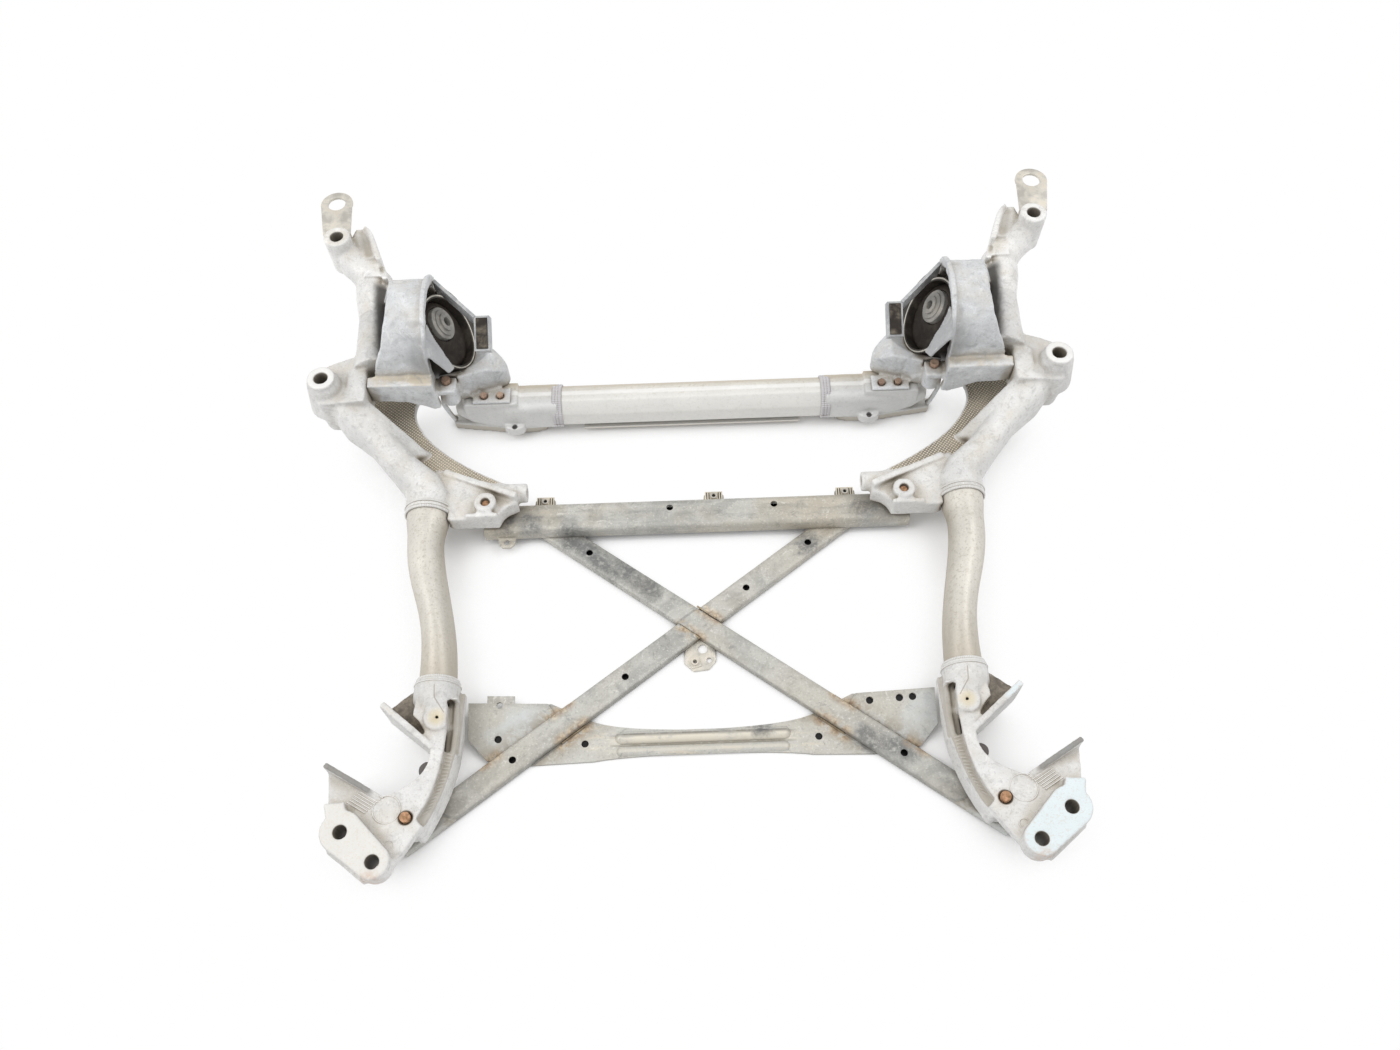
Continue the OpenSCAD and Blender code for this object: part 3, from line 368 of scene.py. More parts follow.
def cast_finish(name, base, dusty, kind=None, holes=()):
    """Blasted cast aluminium: blotches, dust on upper faces, dirt and painted shade in corners and inside bores, a
    darker tone on faces that face down, bright edges, fine grain
    """
    f = Finish(name)
    blotch = f.noise(9.0, 5.0, 0.6, 0.6)
    cloud = f.noise(32.0, 6.0, 0.62, 0.3)
    fine = f.noise(150.0, 5.0, 0.66, 0.3)
    grain = f.noise(900.0, 3.0, 0.7)
    mottle = f.noise(70.0, 7.0, 0.72, 0.9)
    fleck = f.noise(520.0, 3.0, 0.6)
    f.colour = f.mix(blotch.step(0.35, 0.7), shade(base, 0.88), shade(base, 1.08))
    f.lay(fine.step(0.5, 0.72) * 0.5, shade(base, 0.62))
    f.lay(mottle.fade(0.36, 0.46) * 0.42, shade(base, 0.6))
    f.lay(mottle.step(0.56, 0.64) * 0.4, shade(base, 1.25))
    f.lay(fleck.step(0.6, 0.68) * 0.45, shade(base, 1.28))
    f.lay(fleck.fade(0.32, 0.4) * 0.4, dust(0.62))
    film = cloud.step(0.42, 0.72) * f.up.step(0.35, 0.95) * dusty
    f.lay(film.smaller(0.85), dust())
    # Dirt and painted shade in corners: the crevice mask lays a dust tone, then a dark tone, where narrow corners are
    # shaded; less on the rear casting's low ledge
    gap = f.crevice(0.016)
    if kind == "rear":
        gap = gap * (f.level.step(0.05, 0.056) * 0.55 + 0.45)
    f.lay((gap.step(0.05, 0.42) * (cloud + 0.4)).smaller(0.8), dust(0.72))
    f.lay((gap.step(0.3, 0.75) * (cloud + 0.5)).smaller(0.94), tint("grime_and_shade"))
    f.lay(f.bend.step(0.515, 0.6) * 0.55, shade(base, 1.3))
    # Darker tone on faces that face down
    f.lay(f.up.fade(-0.9, -0.2) * 0.35, dust(0.7))
    f.height = grain * 0.5 + fine * 0.5 + cloud * 0.8
    if kind:
        CAST_MARKS[kind](f, base, cloud, fine)
    # Painted shade inside the bores: dark browns laid within each hole's radius
    for radius in sorted({spot[2] for spot in holes}):
        inside = f.bore([spot[:2] for spot in holes if spot[2] == radius], radius)
        f.lay(inside * (0.93 if kind == "rear" else 0.7), f.mix(cloud, (0.07, 0.06, 0.048), (0.22, 0.19, 0.15)))
    return f.close(cloud * 0.25 + 0.48, f.height, 0.00035, 0.1)


def tube_finish(name, across=False, front=(0.76, 0.765, 0.755), holes=()):
    """Satin tube with dust and long rubbed streaks, painted light on the cross tube's front and a painted glint, and
    painted shade on the side tubes' flanks, in corners and inside bores
    """
    f = Finish(name)
    blotch = f.noise(12.0, 5.0, 0.6, 0.4)
    streak = f.noise(30.0, 4.0, 0.6, 0.0, f.stretched((1.0, 6.0, 6.0) if across else (6.0, 1.0, 6.0)))
    fine = f.noise(180.0, 4.0, 0.6)
    grain = f.noise(1200.0, 2.0, 0.6)
    f.colour = f.mix(blotch.step(0.35, 0.7), tint("tube", 0.93), tint("tube", 1.08))
    f.lay(streak.step(0.5, 0.75) * 0.4, tint("tube", 1.2))
    f.lay(fine.step(0.52, 0.72) * 0.45, dust(0.72))
    speck = f.noise(420.0, 4.0, 0.7)
    f.lay(speck.fade(0.36, 0.44) * 0.4, dust(0.55))
    f.lay(speck.step(0.58, 0.66) * 0.4, tint("tube", 1.25))
    if across:
        # Painted light: the front half is laid in its own lit tone
        f.lay(f.along.fade(0.15, 0.172) * 0.6, front)
        back = f.along.step(0.168, 0.178) * f.up.step(0.05, 0.5) * (blotch + 0.45)
        f.lay(back.smaller(0.85), dust(0.95))
        glint = (f.along - 0.1635).absolute().fade(0.0015, 0.0045)
        f.lay(glint * (streak * 0.6 + 0.3), (0.9, 0.9, 0.885))
        foot = f.level.fade(0.0085, 0.0115)
        f.lay(foot * 0.6, dust(0.85))
    else:
        # Painted shade: the side tube's sides and underside laid darker than its top
        f.lay(f.up.fade(-0.2, 0.85) * 0.8, dust(0.62))
        # Painted shade on the inner flank behind the engine mount
        f.lay(f.inward.step(0.0, 0.5) * f.along.step(0.16, 0.19) * 0.9, FLANK_SHADE)
        near_collar = f.along.fade(-0.215, -0.125)
        f.lay(near_collar * (blotch * 0.5 + 0.35), dust(0.68))
    # Painted shade with dark dirt in corners
    f.lay(f.crevice(0.012).step(0.25, 0.8) * 0.45, tint("grime_and_shade"))
    # Painted shade inside the bores
    for x, y, radius in holes:
        f.lay(f.bore([(x, y)], radius) * 0.85, (0.1, 0.095, 0.09))
    return f.close(blotch * 0.2 + 0.34, grain, 0.00012, 0.2)


CROSSING = (0.0, -134.0)
ARM_TURN = 37.0
ARM_LINE = (math.cos(math.radians(ARM_TURN)), -math.sin(math.radians(ARM_TURN)))


def by_arm(reach, across):
    """Plan place in millimetres along the right rear arm, and across it towards the front"""
    x, y = ARM_LINE
    return (CROSSING[0] + x * reach - y * across, CROSSING[1] + y * reach + x * across)


ARM_WELDS = (
    (by_arm(172, 15.5), by_arm(196, 15.5)), (by_arm(172, -15.5), by_arm(204, -15.5)),
    (by_arm(266, 15.5), by_arm(286, 15.5)),
)
CROSS_WELDS = ((by_arm(-13, 15.5), by_arm(15, 15.5)), (by_arm(-15, -15.5), by_arm(13, -15.5)))
SMUDGES = (
    (-0.195, -0.005, 0.024), (0.06, -0.255, 0.006), (-0.225, 0.0, 0.028), (0.2, 0.0, 0.028),
    (0.2137, -0.295, 0.012), (0.1318, -0.0347, 0.012),
)
SMEARS = (
    (by_arm(-190, 4), by_arm(-120, -3)), (by_arm(-118, 6), by_arm(-70, 2)), (by_arm(225, -6), by_arm(268, 2)),
)


# Painted highlight and shade lines along the rear rail's pressed beads: place, width, colour and strength
BEAD_LIGHT_AND_SHADE = (
    (-263.5, 1.3, (0.12, 0.1, 0.08), 0.65), (-269.0, 3.0, (0.74, 0.69, 0.58), 0.8),
    (-273.5, 0.8, (0.16, 0.14, 0.11), 0.7), (-280.0, 1.2, (0.66, 0.61, 0.52), 0.5),
)


def zinc_finish(name, base=None, rusty=1.0):
    """Zinc plate: cloudy grey, black smudges, dust, and thin rust beside the welds, with a painted sheen on the rear
    rail's wings, painted highlight and shade lines along its beads, and painted shade in corners
    """
    f = Finish(name)
    base = base or tint("zinc")
    cloud = f.noise(26.0, 7.0, 0.65, 0.8)
    fine = f.noise(190.0, 5.0, 0.7, 0.2)
    grain = f.noise(1100.0, 2.0, 0.6)
    spots = f.noise(75.0, 5.0, 0.7, 0.5)
    along = f.along
    rail = along.step(-0.034, -0.024)
    middle = f.line(by_arm(-230, 0), by_arm(330, 0))
    rear = along.fade(-0.236, -0.222) * middle.step(0.015, 0.0165)
    pressed = rear * f.across.fade(0.11, 0.15)
    base_tone = f.mix(rear * 0.7, shade(base, 0.8), shade(base, 1.15))
    f.colour = f.mix(cloud.step(0.42, 0.58) * 0.8, base_tone, shade(base, 1.08))
    beige = f.noise(11.0, 4.0).step(0.4, 0.65) * (rail * 0.32 + 0.26)
    f.lay(beige, dust(0.88))
    rubbed = f.noise(22.0, 6.0, 0.68, 0.3, f.stretched((1.0, 7.0, 7.0)))
    f.lay(rubbed.fade(0.34, 0.5) * (rail * 0.3 + pressed * 0.1), shade(base, 0.42))
    f.lay(rubbed.step(0.52, 0.66) * (rail * 0.1 + pressed * 0.5), dust(1.3))
    scratch = f.noise(48.0, 8.0, 0.78, 1.4)
    f.lay(scratch.fade(0.375, 0.405) * 0.5, shade(base, 0.45))
    f.lay(scratch.step(0.6, 0.63) * 0.5, shade(base, 1.5))
    fleck = f.noise(430.0, 4.0, 0.7)
    f.lay(fleck.step(0.58, 0.68) * 0.6, shade(base, 1.55))
    f.lay(fleck.fade(0.33, 0.43) * 0.5, shade(base, 0.5))
    f.lay(fine.step(0.54, 0.74) * 0.5, shade(base, 1.4))
    f.lay(spots.fade(0.3, 0.43) * 0.55, shade(base, 0.48))
    # Painted highlight and shade lines along the pressed beads
    for y, width, tone, amount in BEAD_LIGHT_AND_SHADE:
        mark = f.line((0, y), (100, y)).fade(width * MM, width * 0.0022) * (spots.step(0.3, 0.55) * 0.6 + 0.4)
        f.lay(mark * f.across.fade(0.08, 0.112) * amount, tone)
    # Painted sheen on the rear rail's wings
    wing_sheen = rear * f.across.step(0.165, 0.195)
    f.lay(wing_sheen * f.noise(14.0, 4.0, 0.6, 0.5).step(0.42, 0.62) * 0.55, (0.62, 0.66, 0.68))
    f.lay(rear * middle.fade(0.016, 0.04) * spots.step(0.36, 0.56) * 0.5, (0.24, 0.18, 0.11))
    dark = [f.near(spot, 0.004, 0.034) * 0.9 for spot in SMUDGES]
    dark += [f.line(a, b, False).fade(0.002, 0.03) for a, b in SMEARS]
    smudge = reduce(Wire.larger, dark)
    smear = (smudge * 0.9 + (cloud + scratch - 1.0) * 1.5).step(0.3, 1.0)
    f.lay(smear * fine.step(0.25, 0.55) * 0.75, (0.085, 0.088, 0.095))
    beads = [f.line(a, b) for a, b in ARM_WELDS] + [f.line(a, b, False) for a, b in CROSS_WELDS]
    away = reduce(Wire.smaller, beads)
    rust = (away.fade(0.001, 0.012) * spots.step(0.38, 0.52) * rusty).smaller(1.0)
    tone = f.mix(fine.step(0.35, 0.65), tint("rust", 0.8), (0.66, 0.53, 0.35))
    f.lay(rust * 0.7, tone)
    edge = middle.step(0.013, 0.0148) * middle.fade(0.0162, 0.017)
    f.lay(edge * spots.step(0.3, 0.55) * 0.5, shade(base, 0.35))
    # Painted shade with dark dirt in corners
    gap = f.crevice(0.01)
    f.lay((gap.step(0.25, 0.8) * (spots + 0.4)).smaller(0.9), tint("grime_and_shade", 0.9))
    rough = cloud * 0.25 + 0.42 + rust * 0.2
    return f.close(rough, fine * 0.6 + grain * 0.4 + rust * fine, 0.0003, 0.2)


def steel_finish(name, base, dusty):
    """Plain dull steel with light dust"""
    f = Finish(name)
    cloud = f.noise(60.0, 6.0, 0.6, 0.3)
    grain = f.noise(1000.0, 2.0, 0.6)
    f.colour = f.mix(cloud.step(0.35, 0.7), shade(base, 0.75), shade(base, 1.25))
    f.lay(cloud.step(0.45, 0.75) * f.up.step(0.2, 0.9) * dusty, dust())
    return f.close(cloud * 0.3 + 0.35, grain, 0.00015, 0.35)


def rusty_finish(name):
    """Bolt rust: copper brown with dark pits"""
    f = Finish(name)
    cloud = f.noise(220.0, 5.0, 0.65, 0.4)
    pits = f.noise(700.0, 3.0, 0.7)
    f.colour = f.mix(cloud.step(0.35, 0.68), tint("rust", 0.75), (0.62, 0.36, 0.22))
    f.lay(pits.fade(0.3, 0.42) * 0.5, tint("rust", 0.3))
    return f.close(cloud * 0.3 + 0.5, pits, 0.00025, 0.25)


def rubber_finish(name, dusty):
    """Black rubber with a film of dust"""
    f = Finish(name)
    cloud = f.noise(70.0, 5.0, 0.6, 0.4)
    grain = f.noise(800.0, 3.0, 0.6)
    f.colour = f.mix(cloud.step(0.4, 0.75) * dusty, tint("rubber"), dust(0.55))
    return f.close(cloud * 0.2 + 0.6, grain, 0.0002, 0.0, 0.3)


FINISHES = {}


def finish(key):
    """Makes each finish once"""
    if key not in FINISHES:
        pads = [(*spot, 7.0) for spot in PAD_SPOTS]
        make, *settings = {
            "front casting": (
                cast_finish, "front_casting", tint("casting"), 0.35, "front", ((*REAR_BOSS, 8.0), (*FRONT_BOLT, 5.2))),
            "rear casting": (
                cast_finish, "rear_casting", tint("casting"), 0.3, "rear", (*pads, (*REAR_BOLT, 7.4))),
            "horn": (cast_finish, "horn_casting", tint("casting", 1.14), 0.45, "horn", ((*FRONT_BOSS, 8.0),)),
            "mount casting": (cast_finish, "mount_casting", tint("mount_casting"), 0.35, "mount"),
            "tube": (tube_finish, "tube"),
            "cross tube": (tube_finish, "cross_tube", True),
            "cross end": (
                tube_finish, "cross_end", True, (0.6, 0.62, 0.645),
                ((*LOBE_BORE, LOBE_BORE_RADIUS), (*LUG_BORE, 3.3))),
            "zinc": (zinc_finish, "zinc_brace"),
            "tab": (steel_finish, "tab_steel", (0.64, 0.61, 0.55), 0.7),
            "mount steel": (steel_finish, "mount_steel", (0.46, 0.47, 0.48), 0.3),
            # Dark cup steel, also used for the sector of painted shade beside each cup
            "cup": (steel_finish, "cup_steel", (0.04, 0.034, 0.028), 0.12),
            "cup rim": (steel_finish, "cup_rim", (0.58, 0.56, 0.5), 0.3),
            "core steel": (steel_finish, "core_steel", (0.3, 0.29, 0.27), 0.4),
            "clip": (steel_finish, "clip_steel", (0.66, 0.6, 0.49), 0.5),
            "seat bolt": (steel_finish, "seat_bolt", (0.4, 0.27, 0.2), 0.35),
            "shadow": (steel_finish, "inner_dark", (0.006, 0.006, 0.006), 0.0),
            "rusty bolt": (rusty_finish, "rusty_bolt"),
            "rubber": (rubber_finish, "mount_rubber", 0.1),
            "buffer rubber": (rubber_finish, "buffer_rubber", 0.55),
            "weld": (cast_finish, "weld_bead", tint("casting", 0.92), 0.4),
            "band weld": (cast_finish, "band_weld", (0.5, 0.49, 0.51), 0.2),
            "brace weld": (zinc_finish, "brace_weld", (0.5, 0.4, 0.26), 0.8),
        }[key]
        FINISHES[key] = make(*settings)
    return FINISHES[key]


# Modelling helpers


def metres(spot):
    return [c * MM for c in spot]


def clear():
    if bpy.context.object and bpy.context.object.mode != "OBJECT":
        bpy.ops.object.mode_set(mode="OBJECT")
    bpy.ops.object.select_all(action="DESELECT")


def pick(*pieces):
    clear()
    for piece in pieces:
        piece.select_set(True)
    bpy.context.view_layer.objects.active = pieces[0]


def edit(piece):
    pick(piece)
    bpy.ops.object.mode_set(mode="EDIT")
    bpy.ops.mesh.select_all(action="SELECT")


def done():
    bpy.ops.object.mode_set(mode="OBJECT")


def settle(piece):
    """Puts the piece's place, turn and size into its mesh"""
    pick(piece)
    bpy.ops.object.transform_apply(location=True, rotation=True, scale=True)


def named(name):
    made = bpy.context.object
    made.name = made.data.name = name
    return made


def add(primitive, name, scale=(1.0, 1.0, 1.0), **settings):
    """Adds a primitive and puts its place, turn and size into its mesh"""
    clear()
    primitive(**settings)
    made = named(name)
    made.scale = scale
    settle(made)
    return made


def modify(piece, kind, **settings):
    pick(piece)
    modifier = piece.modifiers.new(kind.lower(), kind)
    for key, value in settings.items():
        setattr(modifier, key, value)
    bpy.ops.object.modifier_apply(modifier=modifier.name)


def smooth(piece, angle=180.0):
    """Shades a piece smooth, but for edges sharper than an angle in degrees"""
    pick(piece)
    if angle < 180.0:
        bpy.ops.object.shade_smooth_by_angle(angle=math.radians(angle))
    else:
        bpy.ops.object.shade_smooth()
    return piece


def copy_of(node, name):
    """A merged copy of a CAD node to shape further"""
    pick(NODES[node])
    bpy.ops.object.duplicate()
    made = named(name)
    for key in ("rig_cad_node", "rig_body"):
        if key in made:
            del made[key]
    made.parent = None
    made.data.materials.clear()
    edit(made)
    bpy.ops.mesh.customdata_custom_splitnormals_clear()
    bpy.ops.mesh.remove_doubles(threshold=1e-6)
    done()
    return made


def joined(*parts):
    """Joins parts into the first"""
    if len(parts) > 1:
        pick(*parts)
        bpy.ops.object.join()
    return parts[0]


def own(piece, key, slot, *nodes):
    """Gives a finished piece its finish and its body, and hides the CAD nodes it stands for"""
    piece.data.materials.clear()
    piece.data.materials.append(finish(key))
    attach(piece, "root")
    if nodes:
        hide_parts(*nodes)
    return piece


def group(name, parts, key, slot):
    """Joins parts into one finished piece that stands for no CAD node"""
    own(joined(*parts), key, slot).name = name


def paint(node, key):
    """Gives a CAD node that stays a better finish"""
    held = NODES[node]
    if held.material_slots:
        held.material_slots[0].material = finish(key)
    else:
        held.data.materials.append(finish(key))


def waves(size):
    """Cloud texture of a feature size, for uneven cast faces"""
    name = f"waves_{round(size * 1000)}"
    if name not in bpy.data.textures:
        made = bpy.data.textures.new(name, "CLOUDS")
        made.noise_scale = size
        made.noise_depth = 1
    return bpy.data.textures[name]


def soften(piece, grain=None, rounding=None, uneven=0.0008, size=0.02):
    """Turns a sharp solid into a cast one: even skin, rounded edges, fillets and slightly wavy faces"""
    sizes = bpy.context.scene.subframe_sizes
    modify(piece, "REMESH", mode="VOXEL", voxel_size=grain or sizes.cast_grain, adaptivity=0.0)
    modify(piece, "SMOOTH", factor=0.5, iterations=sizes.cast_rounding if rounding is None else rounding)
    if uneven:
        modify(piece, "DISPLACE", texture=waves(size), texture_coords="LOCAL", strength=uneven, mid_level=0.5)
    return smooth(piece)


def flatten(piece):
    """Dissolves a copy's triangles to faces"""
    edit(piece)
    bpy.ops.mesh.dissolve_limited(angle_limit=math.radians(0.5))
    done()


def break_edges(piece, width=None, angle=32.0):
    """Flattens a copy's triangles to faces and rounds its edges"""
    sizes = bpy.context.scene.subframe_sizes
    flatten(piece)
    modify(piece, "BEVEL", width=width or sizes.sheet_edge, segments=2, limit_method="ANGLE",
           angle_limit=math.radians(angle), use_clamp_overlap=True, harden_normals=False)
    return smooth(piece, angle)


def block(name, spot, size, turn=0.0, tilt=0.0):
    """Box with rounded edges, at a place in millimetres"""
    made = add(bpy.ops.mesh.primitive_cube_add, name, metres(size), size=1.0, location=metres(spot),
               rotation=(tilt, 0.0, math.radians(turn)))
    modify(made, "BEVEL", width=min(size) * 0.0002, segments=2)
    return made


def prism(name, side, outline, low, high):
    """Plate over a plan outline on one side of the part, from one height to another, in millimetres"""
    made = add(bpy.ops.mesh.primitive_circle_add, name, vertices=len(outline), radius=1.0, fill_type="NGON")
    for vertex, (x, y) in zip(made.data.vertices, outline):
        vertex.co = metres((side * x, y, low))
    edit(made)
    bpy.ops.mesh.extrude_region_move(TRANSFORM_OT_translate={
        "value": (0.0, 0.0, (high - low) * MM), "orient_type": "GLOBAL"})
    bpy.ops.mesh.select_all(action="SELECT")
    bpy.ops.mesh.normals_make_consistent(inside=False)
    done()
    return made


def carve(piece, *cutters):
    """Cuts bodies out of a piece"""
    for cutter in cutters:
        modify(piece, "BOOLEAN", operation="DIFFERENCE", object=cutter, solver="EXACT")
        bpy.data.objects.remove(cutter)
    return piece


def on_mount(piece, side):
    """Moves a piece drawn flat to the leaning face of an engine mount"""
    x, y, z = MOUNT_FACE
    piece.rotation_euler = (0.0, -side * MOUNT_LEAN, 0.0)
    piece.location = metres((side * x, y, z))
    settle(piece)
    return piece


def disc(name, spot, radius, height, edge, sides=32):
    """Upright round boss with rounded rims, at a place in millimetres"""
    made = add(bpy.ops.mesh.primitive_cylinder_add, name, vertices=sides, radius=radius * MM, depth=height * MM,
               location=metres(spot))
    modify(made, "BEVEL", width=edge * MM, segments=2, limit_method="ANGLE", angle_limit=math.radians(50))
    return made


def hoop(name, spot, radius, thick, turn=(0.0, 0.0, 0.0)):
    """Low round ring, at a place in millimetres"""
    made = add(bpy.ops.mesh.primitive_torus_add, name, major_radius=radius * MM, minor_radius=thick * MM,
               major_segments=72, minor_segments=10, location=metres(spot), rotation=turn)
    return smooth(made)


def cone(name, start, end, first, last):
    """Round taper between two places in millimetres"""
    a, b = Vector(start), Vector(end)
    return add(bpy.ops.mesh.primitive_cone_add, name, vertices=48, radius1=first * MM, radius2=last * MM,
               depth=(b - a).length * MM, location=(a + b) * (MM / 2),
               rotation=(b - a).to_track_quat("Z", "Y").to_euler())


def path(points, closed):
    """Poly curve through points in millimetres"""
    data = bpy.data.curves.new("weld_path", "CURVE")
    data.dimensions = "3D"
    spline = data.splines.new("POLY")
    spline.points.add(len(points) - 1)
    for point, spot in zip(spline.points, points):
        point.co = (*metres(spot), 1.0)
    spline.use_cyclic_u = closed
    made = bpy.data.objects.new("weld_path", data)
    bpy.context.scene.collection.objects.link(made)
    return made


def rod(name, points, radius):
    """Round bar along a path in millimetres"""
    guide = path(points, False)
    guide.data.bevel_depth = radius * MM
    guide.data.bevel_resolution = 4
    guide.data.use_fill_caps = True
    pick(guide)
    bpy.ops.object.convert(target="MESH")
    return named(name)


DROP_PITCH = 0.42  # share of the bead's width
THREAD_PITCH = 1.5


def weld(name, points, size, closed=False):
    """Rippled bead: one drop of weld laid again and again along a path in millimetres"""
    ends = points[1:] + (points[:1] if closed else [])
    length = sum((Vector(b) - Vector(a)).length for a, b in zip(points, ends))
    made = add(bpy.ops.mesh.primitive_uv_sphere_add, name, (0.8, 1.0, 0.62), segments=8, ring_count=5,
               radius=size * 0.5, rotation=(0.0, math.pi / 2, 0.0))
    pitch = size * DROP_PITCH
    guide = path(points, closed)
    modify(made, "ARRAY", fit_type="FIXED_COUNT", count=max(2, int(length * MM / pitch)),
           use_relative_offset=False, use_constant_offset=True, constant_offset_displace=(pitch, 0.0, 0.0))
    modify(made, "CURVE", object=guide, deform_axis="POS_X")
    bpy.data.objects.remove(guide)
    return smooth(made)


def circle(x, y, z, radius, count=72):
    """Points of an upright circle that faces along the part, in millimetres"""
    turns = [2 * math.pi * i / count for i in range(count)]
    return [(x + radius * math.cos(t), y, z + radius * math.sin(t)) for t in turns]


def hex_bolt(name, spot, thread, head, length, up=True):
    """Hexagon bolt: chamfered head with a dished top, and a run of thread ridges"""
    sign = 1 if up else -1
    x, y, z = spot
    made = add(bpy.ops.mesh.primitive_cylinder_add, name, vertices=6, radius=thread * 0.00092, depth=head * MM,
               location=metres((x, y, z + sign * head / 2)))
    modify(made, "BEVEL", width=thread * 0.00007, segments=2)
    edit(made)
    bpy.ops.mesh.select_all(action="DESELECT")
    done()
    for face in made.data.polygons:
        face.select = face.normal.z * sign > 0.98
    bpy.ops.object.mode_set(mode="EDIT")
    bpy.ops.mesh.inset(thickness=thread * 0.00016, depth=0.0)
    bpy.ops.mesh.inset(thickness=thread * 0.0001, depth=-thread * 0.00005)
    done()
    ridge = disc(name + "_thread", (x, y, z - sign * THREAD_PITCH / 2), thread * 0.5, THREAD_PITCH * 0.92, 0.45, 16)
    modify(ridge, "ARRAY", fit_type="FIXED_COUNT", count=max(2, int(length / THREAD_PITCH)), use_relative_offset=False,
           use_constant_offset=True, constant_offset_displace=(0.0, 0.0, -sign * THREAD_PITCH * MM))
    joined(made, ridge)
    return smooth(made, 30.0)


def cast(node, name, key, slot, extras=(), *skin):
    """Dresses a CAD node as a casting: a copy and added forms under one soft skin"""
    own(soften(joined(copy_of(node, name), *extras), *skin), key, slot, node)


def sheet(node, name, key, slot, *edges):
    """Dresses a CAD node as a copy with rounded edges"""
    own(break_edges(copy_of(node, name), *edges), key, slot, node)


# Pieces


class SUBFRAME_OT_front_castings(bpy.types.Operator):
    """Cast front corners with an end plate and the root of the horn tube"""

    bl_idname = "subframe.front_castings"
    bl_label = "Front castings"

    def execute(self, context):
        for side, s in SIDES:
            cast(f"{side}_front_casting", f"{side}_front_corner", "front casting", "cast_aluminium", (
                block("end_plate", (s * 393, 144, 120.4), (21, 25, 6)),
                cone("tube_root", (s * 379, 192, 112), (s * 385, 246, 112), 21.5, 18.3),
            ))
        return {"FINISHED"}


RIM_BAND = (
    (250, -236), (267.5, -236), (266.5, -265), (268, -290), (271, -312), (276, -332), (283, -349), (290, -361),
    (284, -368), (268, -350), (255, -320), (248, -290), (247, -260),
)
RIM_GROOVE = ((263.5, -237), (267.4, -237), (266.4, -265), (267.6, -287), (263, -289), (262, -268))
GROOVE_FLOOR = ((252, -224), (270, -224), (270, -292), (254, -292))
POCKET_FLOOR = ((335, -242), (310, -221), (296, -234), (288, -268), (290, -282))
LEDGE_FLOOR = (
    (258.5, -292), (270, -290), (273, -312), (278, -332), (285, -350), (291, -362), (284, -365), (273, -346),
    (263, -320),
)
HATCH_LINES = 8
LEDGE_RIBS = 17


class SUBFRAME_OT_rear_castings(bpy.types.Operator):
    """Cast rear corners with bored pads, ejector marks, stiffening lines and the ribbed ledge"""

    bl_idname = "subframe.rear_castings"
    bl_label = "Rear castings"

    def execute(self, context):
        for side, s in SIDES:
            node = f"{side}_rear_casting"
            piece = copy_of(node, f"{side}_rear_corner")
            carve(piece, prism("band", s, RIM_BAND, 50, 90), prism("groove", s, RIM_GROOVE, 44, 91))
            bosses = [
                carve(disc("pad_boss", (s * x, y, 50.5), 10.5, 33, 0.8), disc("bore", (s * x, y, 50.5), 6.75, 40, 0.1))
                for x, y in PAD_SPOTS
            ]
            joined(
                piece, *bosses, prism("pocket_floor", s, POCKET_FLOOR, 38, 46),
                prism("groove_floor", s, GROOVE_FLOOR, 36, 46), prism("ledge_floor", s, LEDGE_FLOOR, 40, 51),
                disc("bush_end", (s * 285, -309, 46), 8.5, 16, 1.2))
            soften(piece, 0.0017, 3)
            extras = [hoop("mark", (s * 320, -351, 59.9), 14, 0.7), hoop("mark", (s * 314, -387, 59.9), 5, 0.6)]
            for i in range(HATCH_LINES):
                t = (i + 1) / HATCH_LINES
                extras.append(block("hatch", (s * (332 + 19 * t), -331 - 17 * t, 60), (23, 0.9, 1.9), s * 31))
            for i in range(LEDGE_RIBS):
                t = i / (LEDGE_RIBS - 1)
                extras.append(block("ledge_rib", (s * (264 + 5 * t + 14 * t * t), -293 - 60 * t, 50.6), (8, 1.7, 2.6),
                                    s * (14 - 44 * t)))
            own(joined(piece, *extras), "rear casting", "cast_aluminium", node)
        return {"FINISHED"}


PALM = (
    (383, 316), (387, 332), (391, 346), (397, 358), (404, 367), (415, 366), (419, 350), (408, 334), (396, 316),
)
PALM_ROOT = ((376, 290), (384, 320), (399, 320), (398, 290))


class SUBFRAME_OT_horns(bpy.types.Operator):
    """Cast front horns and their folded eye tabs"""

    bl_idname = "subframe.horns"
    bl_label = "Horns and eye tabs"

    def execute(self, context):
        for side, s in SIDES:
            cast(f"{side}_front_horn", f"{side}_horn_cast", "horn", "cast_aluminium", (
                prism("palm", s, PALM, 118, 142), prism("palm_root", s, PALM_ROOT, 116, 138),
                cone("tube_flare", (s * 384.5, 240, 112), (s * 388.5, 276, 112), 18.3, 22.4),
            ), 0.0014, 5)
            sheet(f"{side}_eye_tab", f"{side}_eye_strip", "tab", "tab_steel", 0.0008)
            paint(f"{side}_horn_tube", "tube")
        return {"FINISHED"}


SIDE_STATIONS = (
    (283, -240, 20.5, 20.5), (283, -208, 20.5, 20.5), (283.5, -190, 19.5, 22.5), (285, -170, 19, 25),
    (288, -148, 18.5, 26), (294, -122, 19, 26.5), (302, -95, 20.5, 26.5), (308.5, -68, 21, 26),
    (311.5, -46, 20.7, 25.5), (312.3, -31, 20.7, 25), (312.2, -21, 22.5, 25), (312, -12, 24.6, 25),
    (312, 0, 25, 25), (312, 26, 25, 25),
)


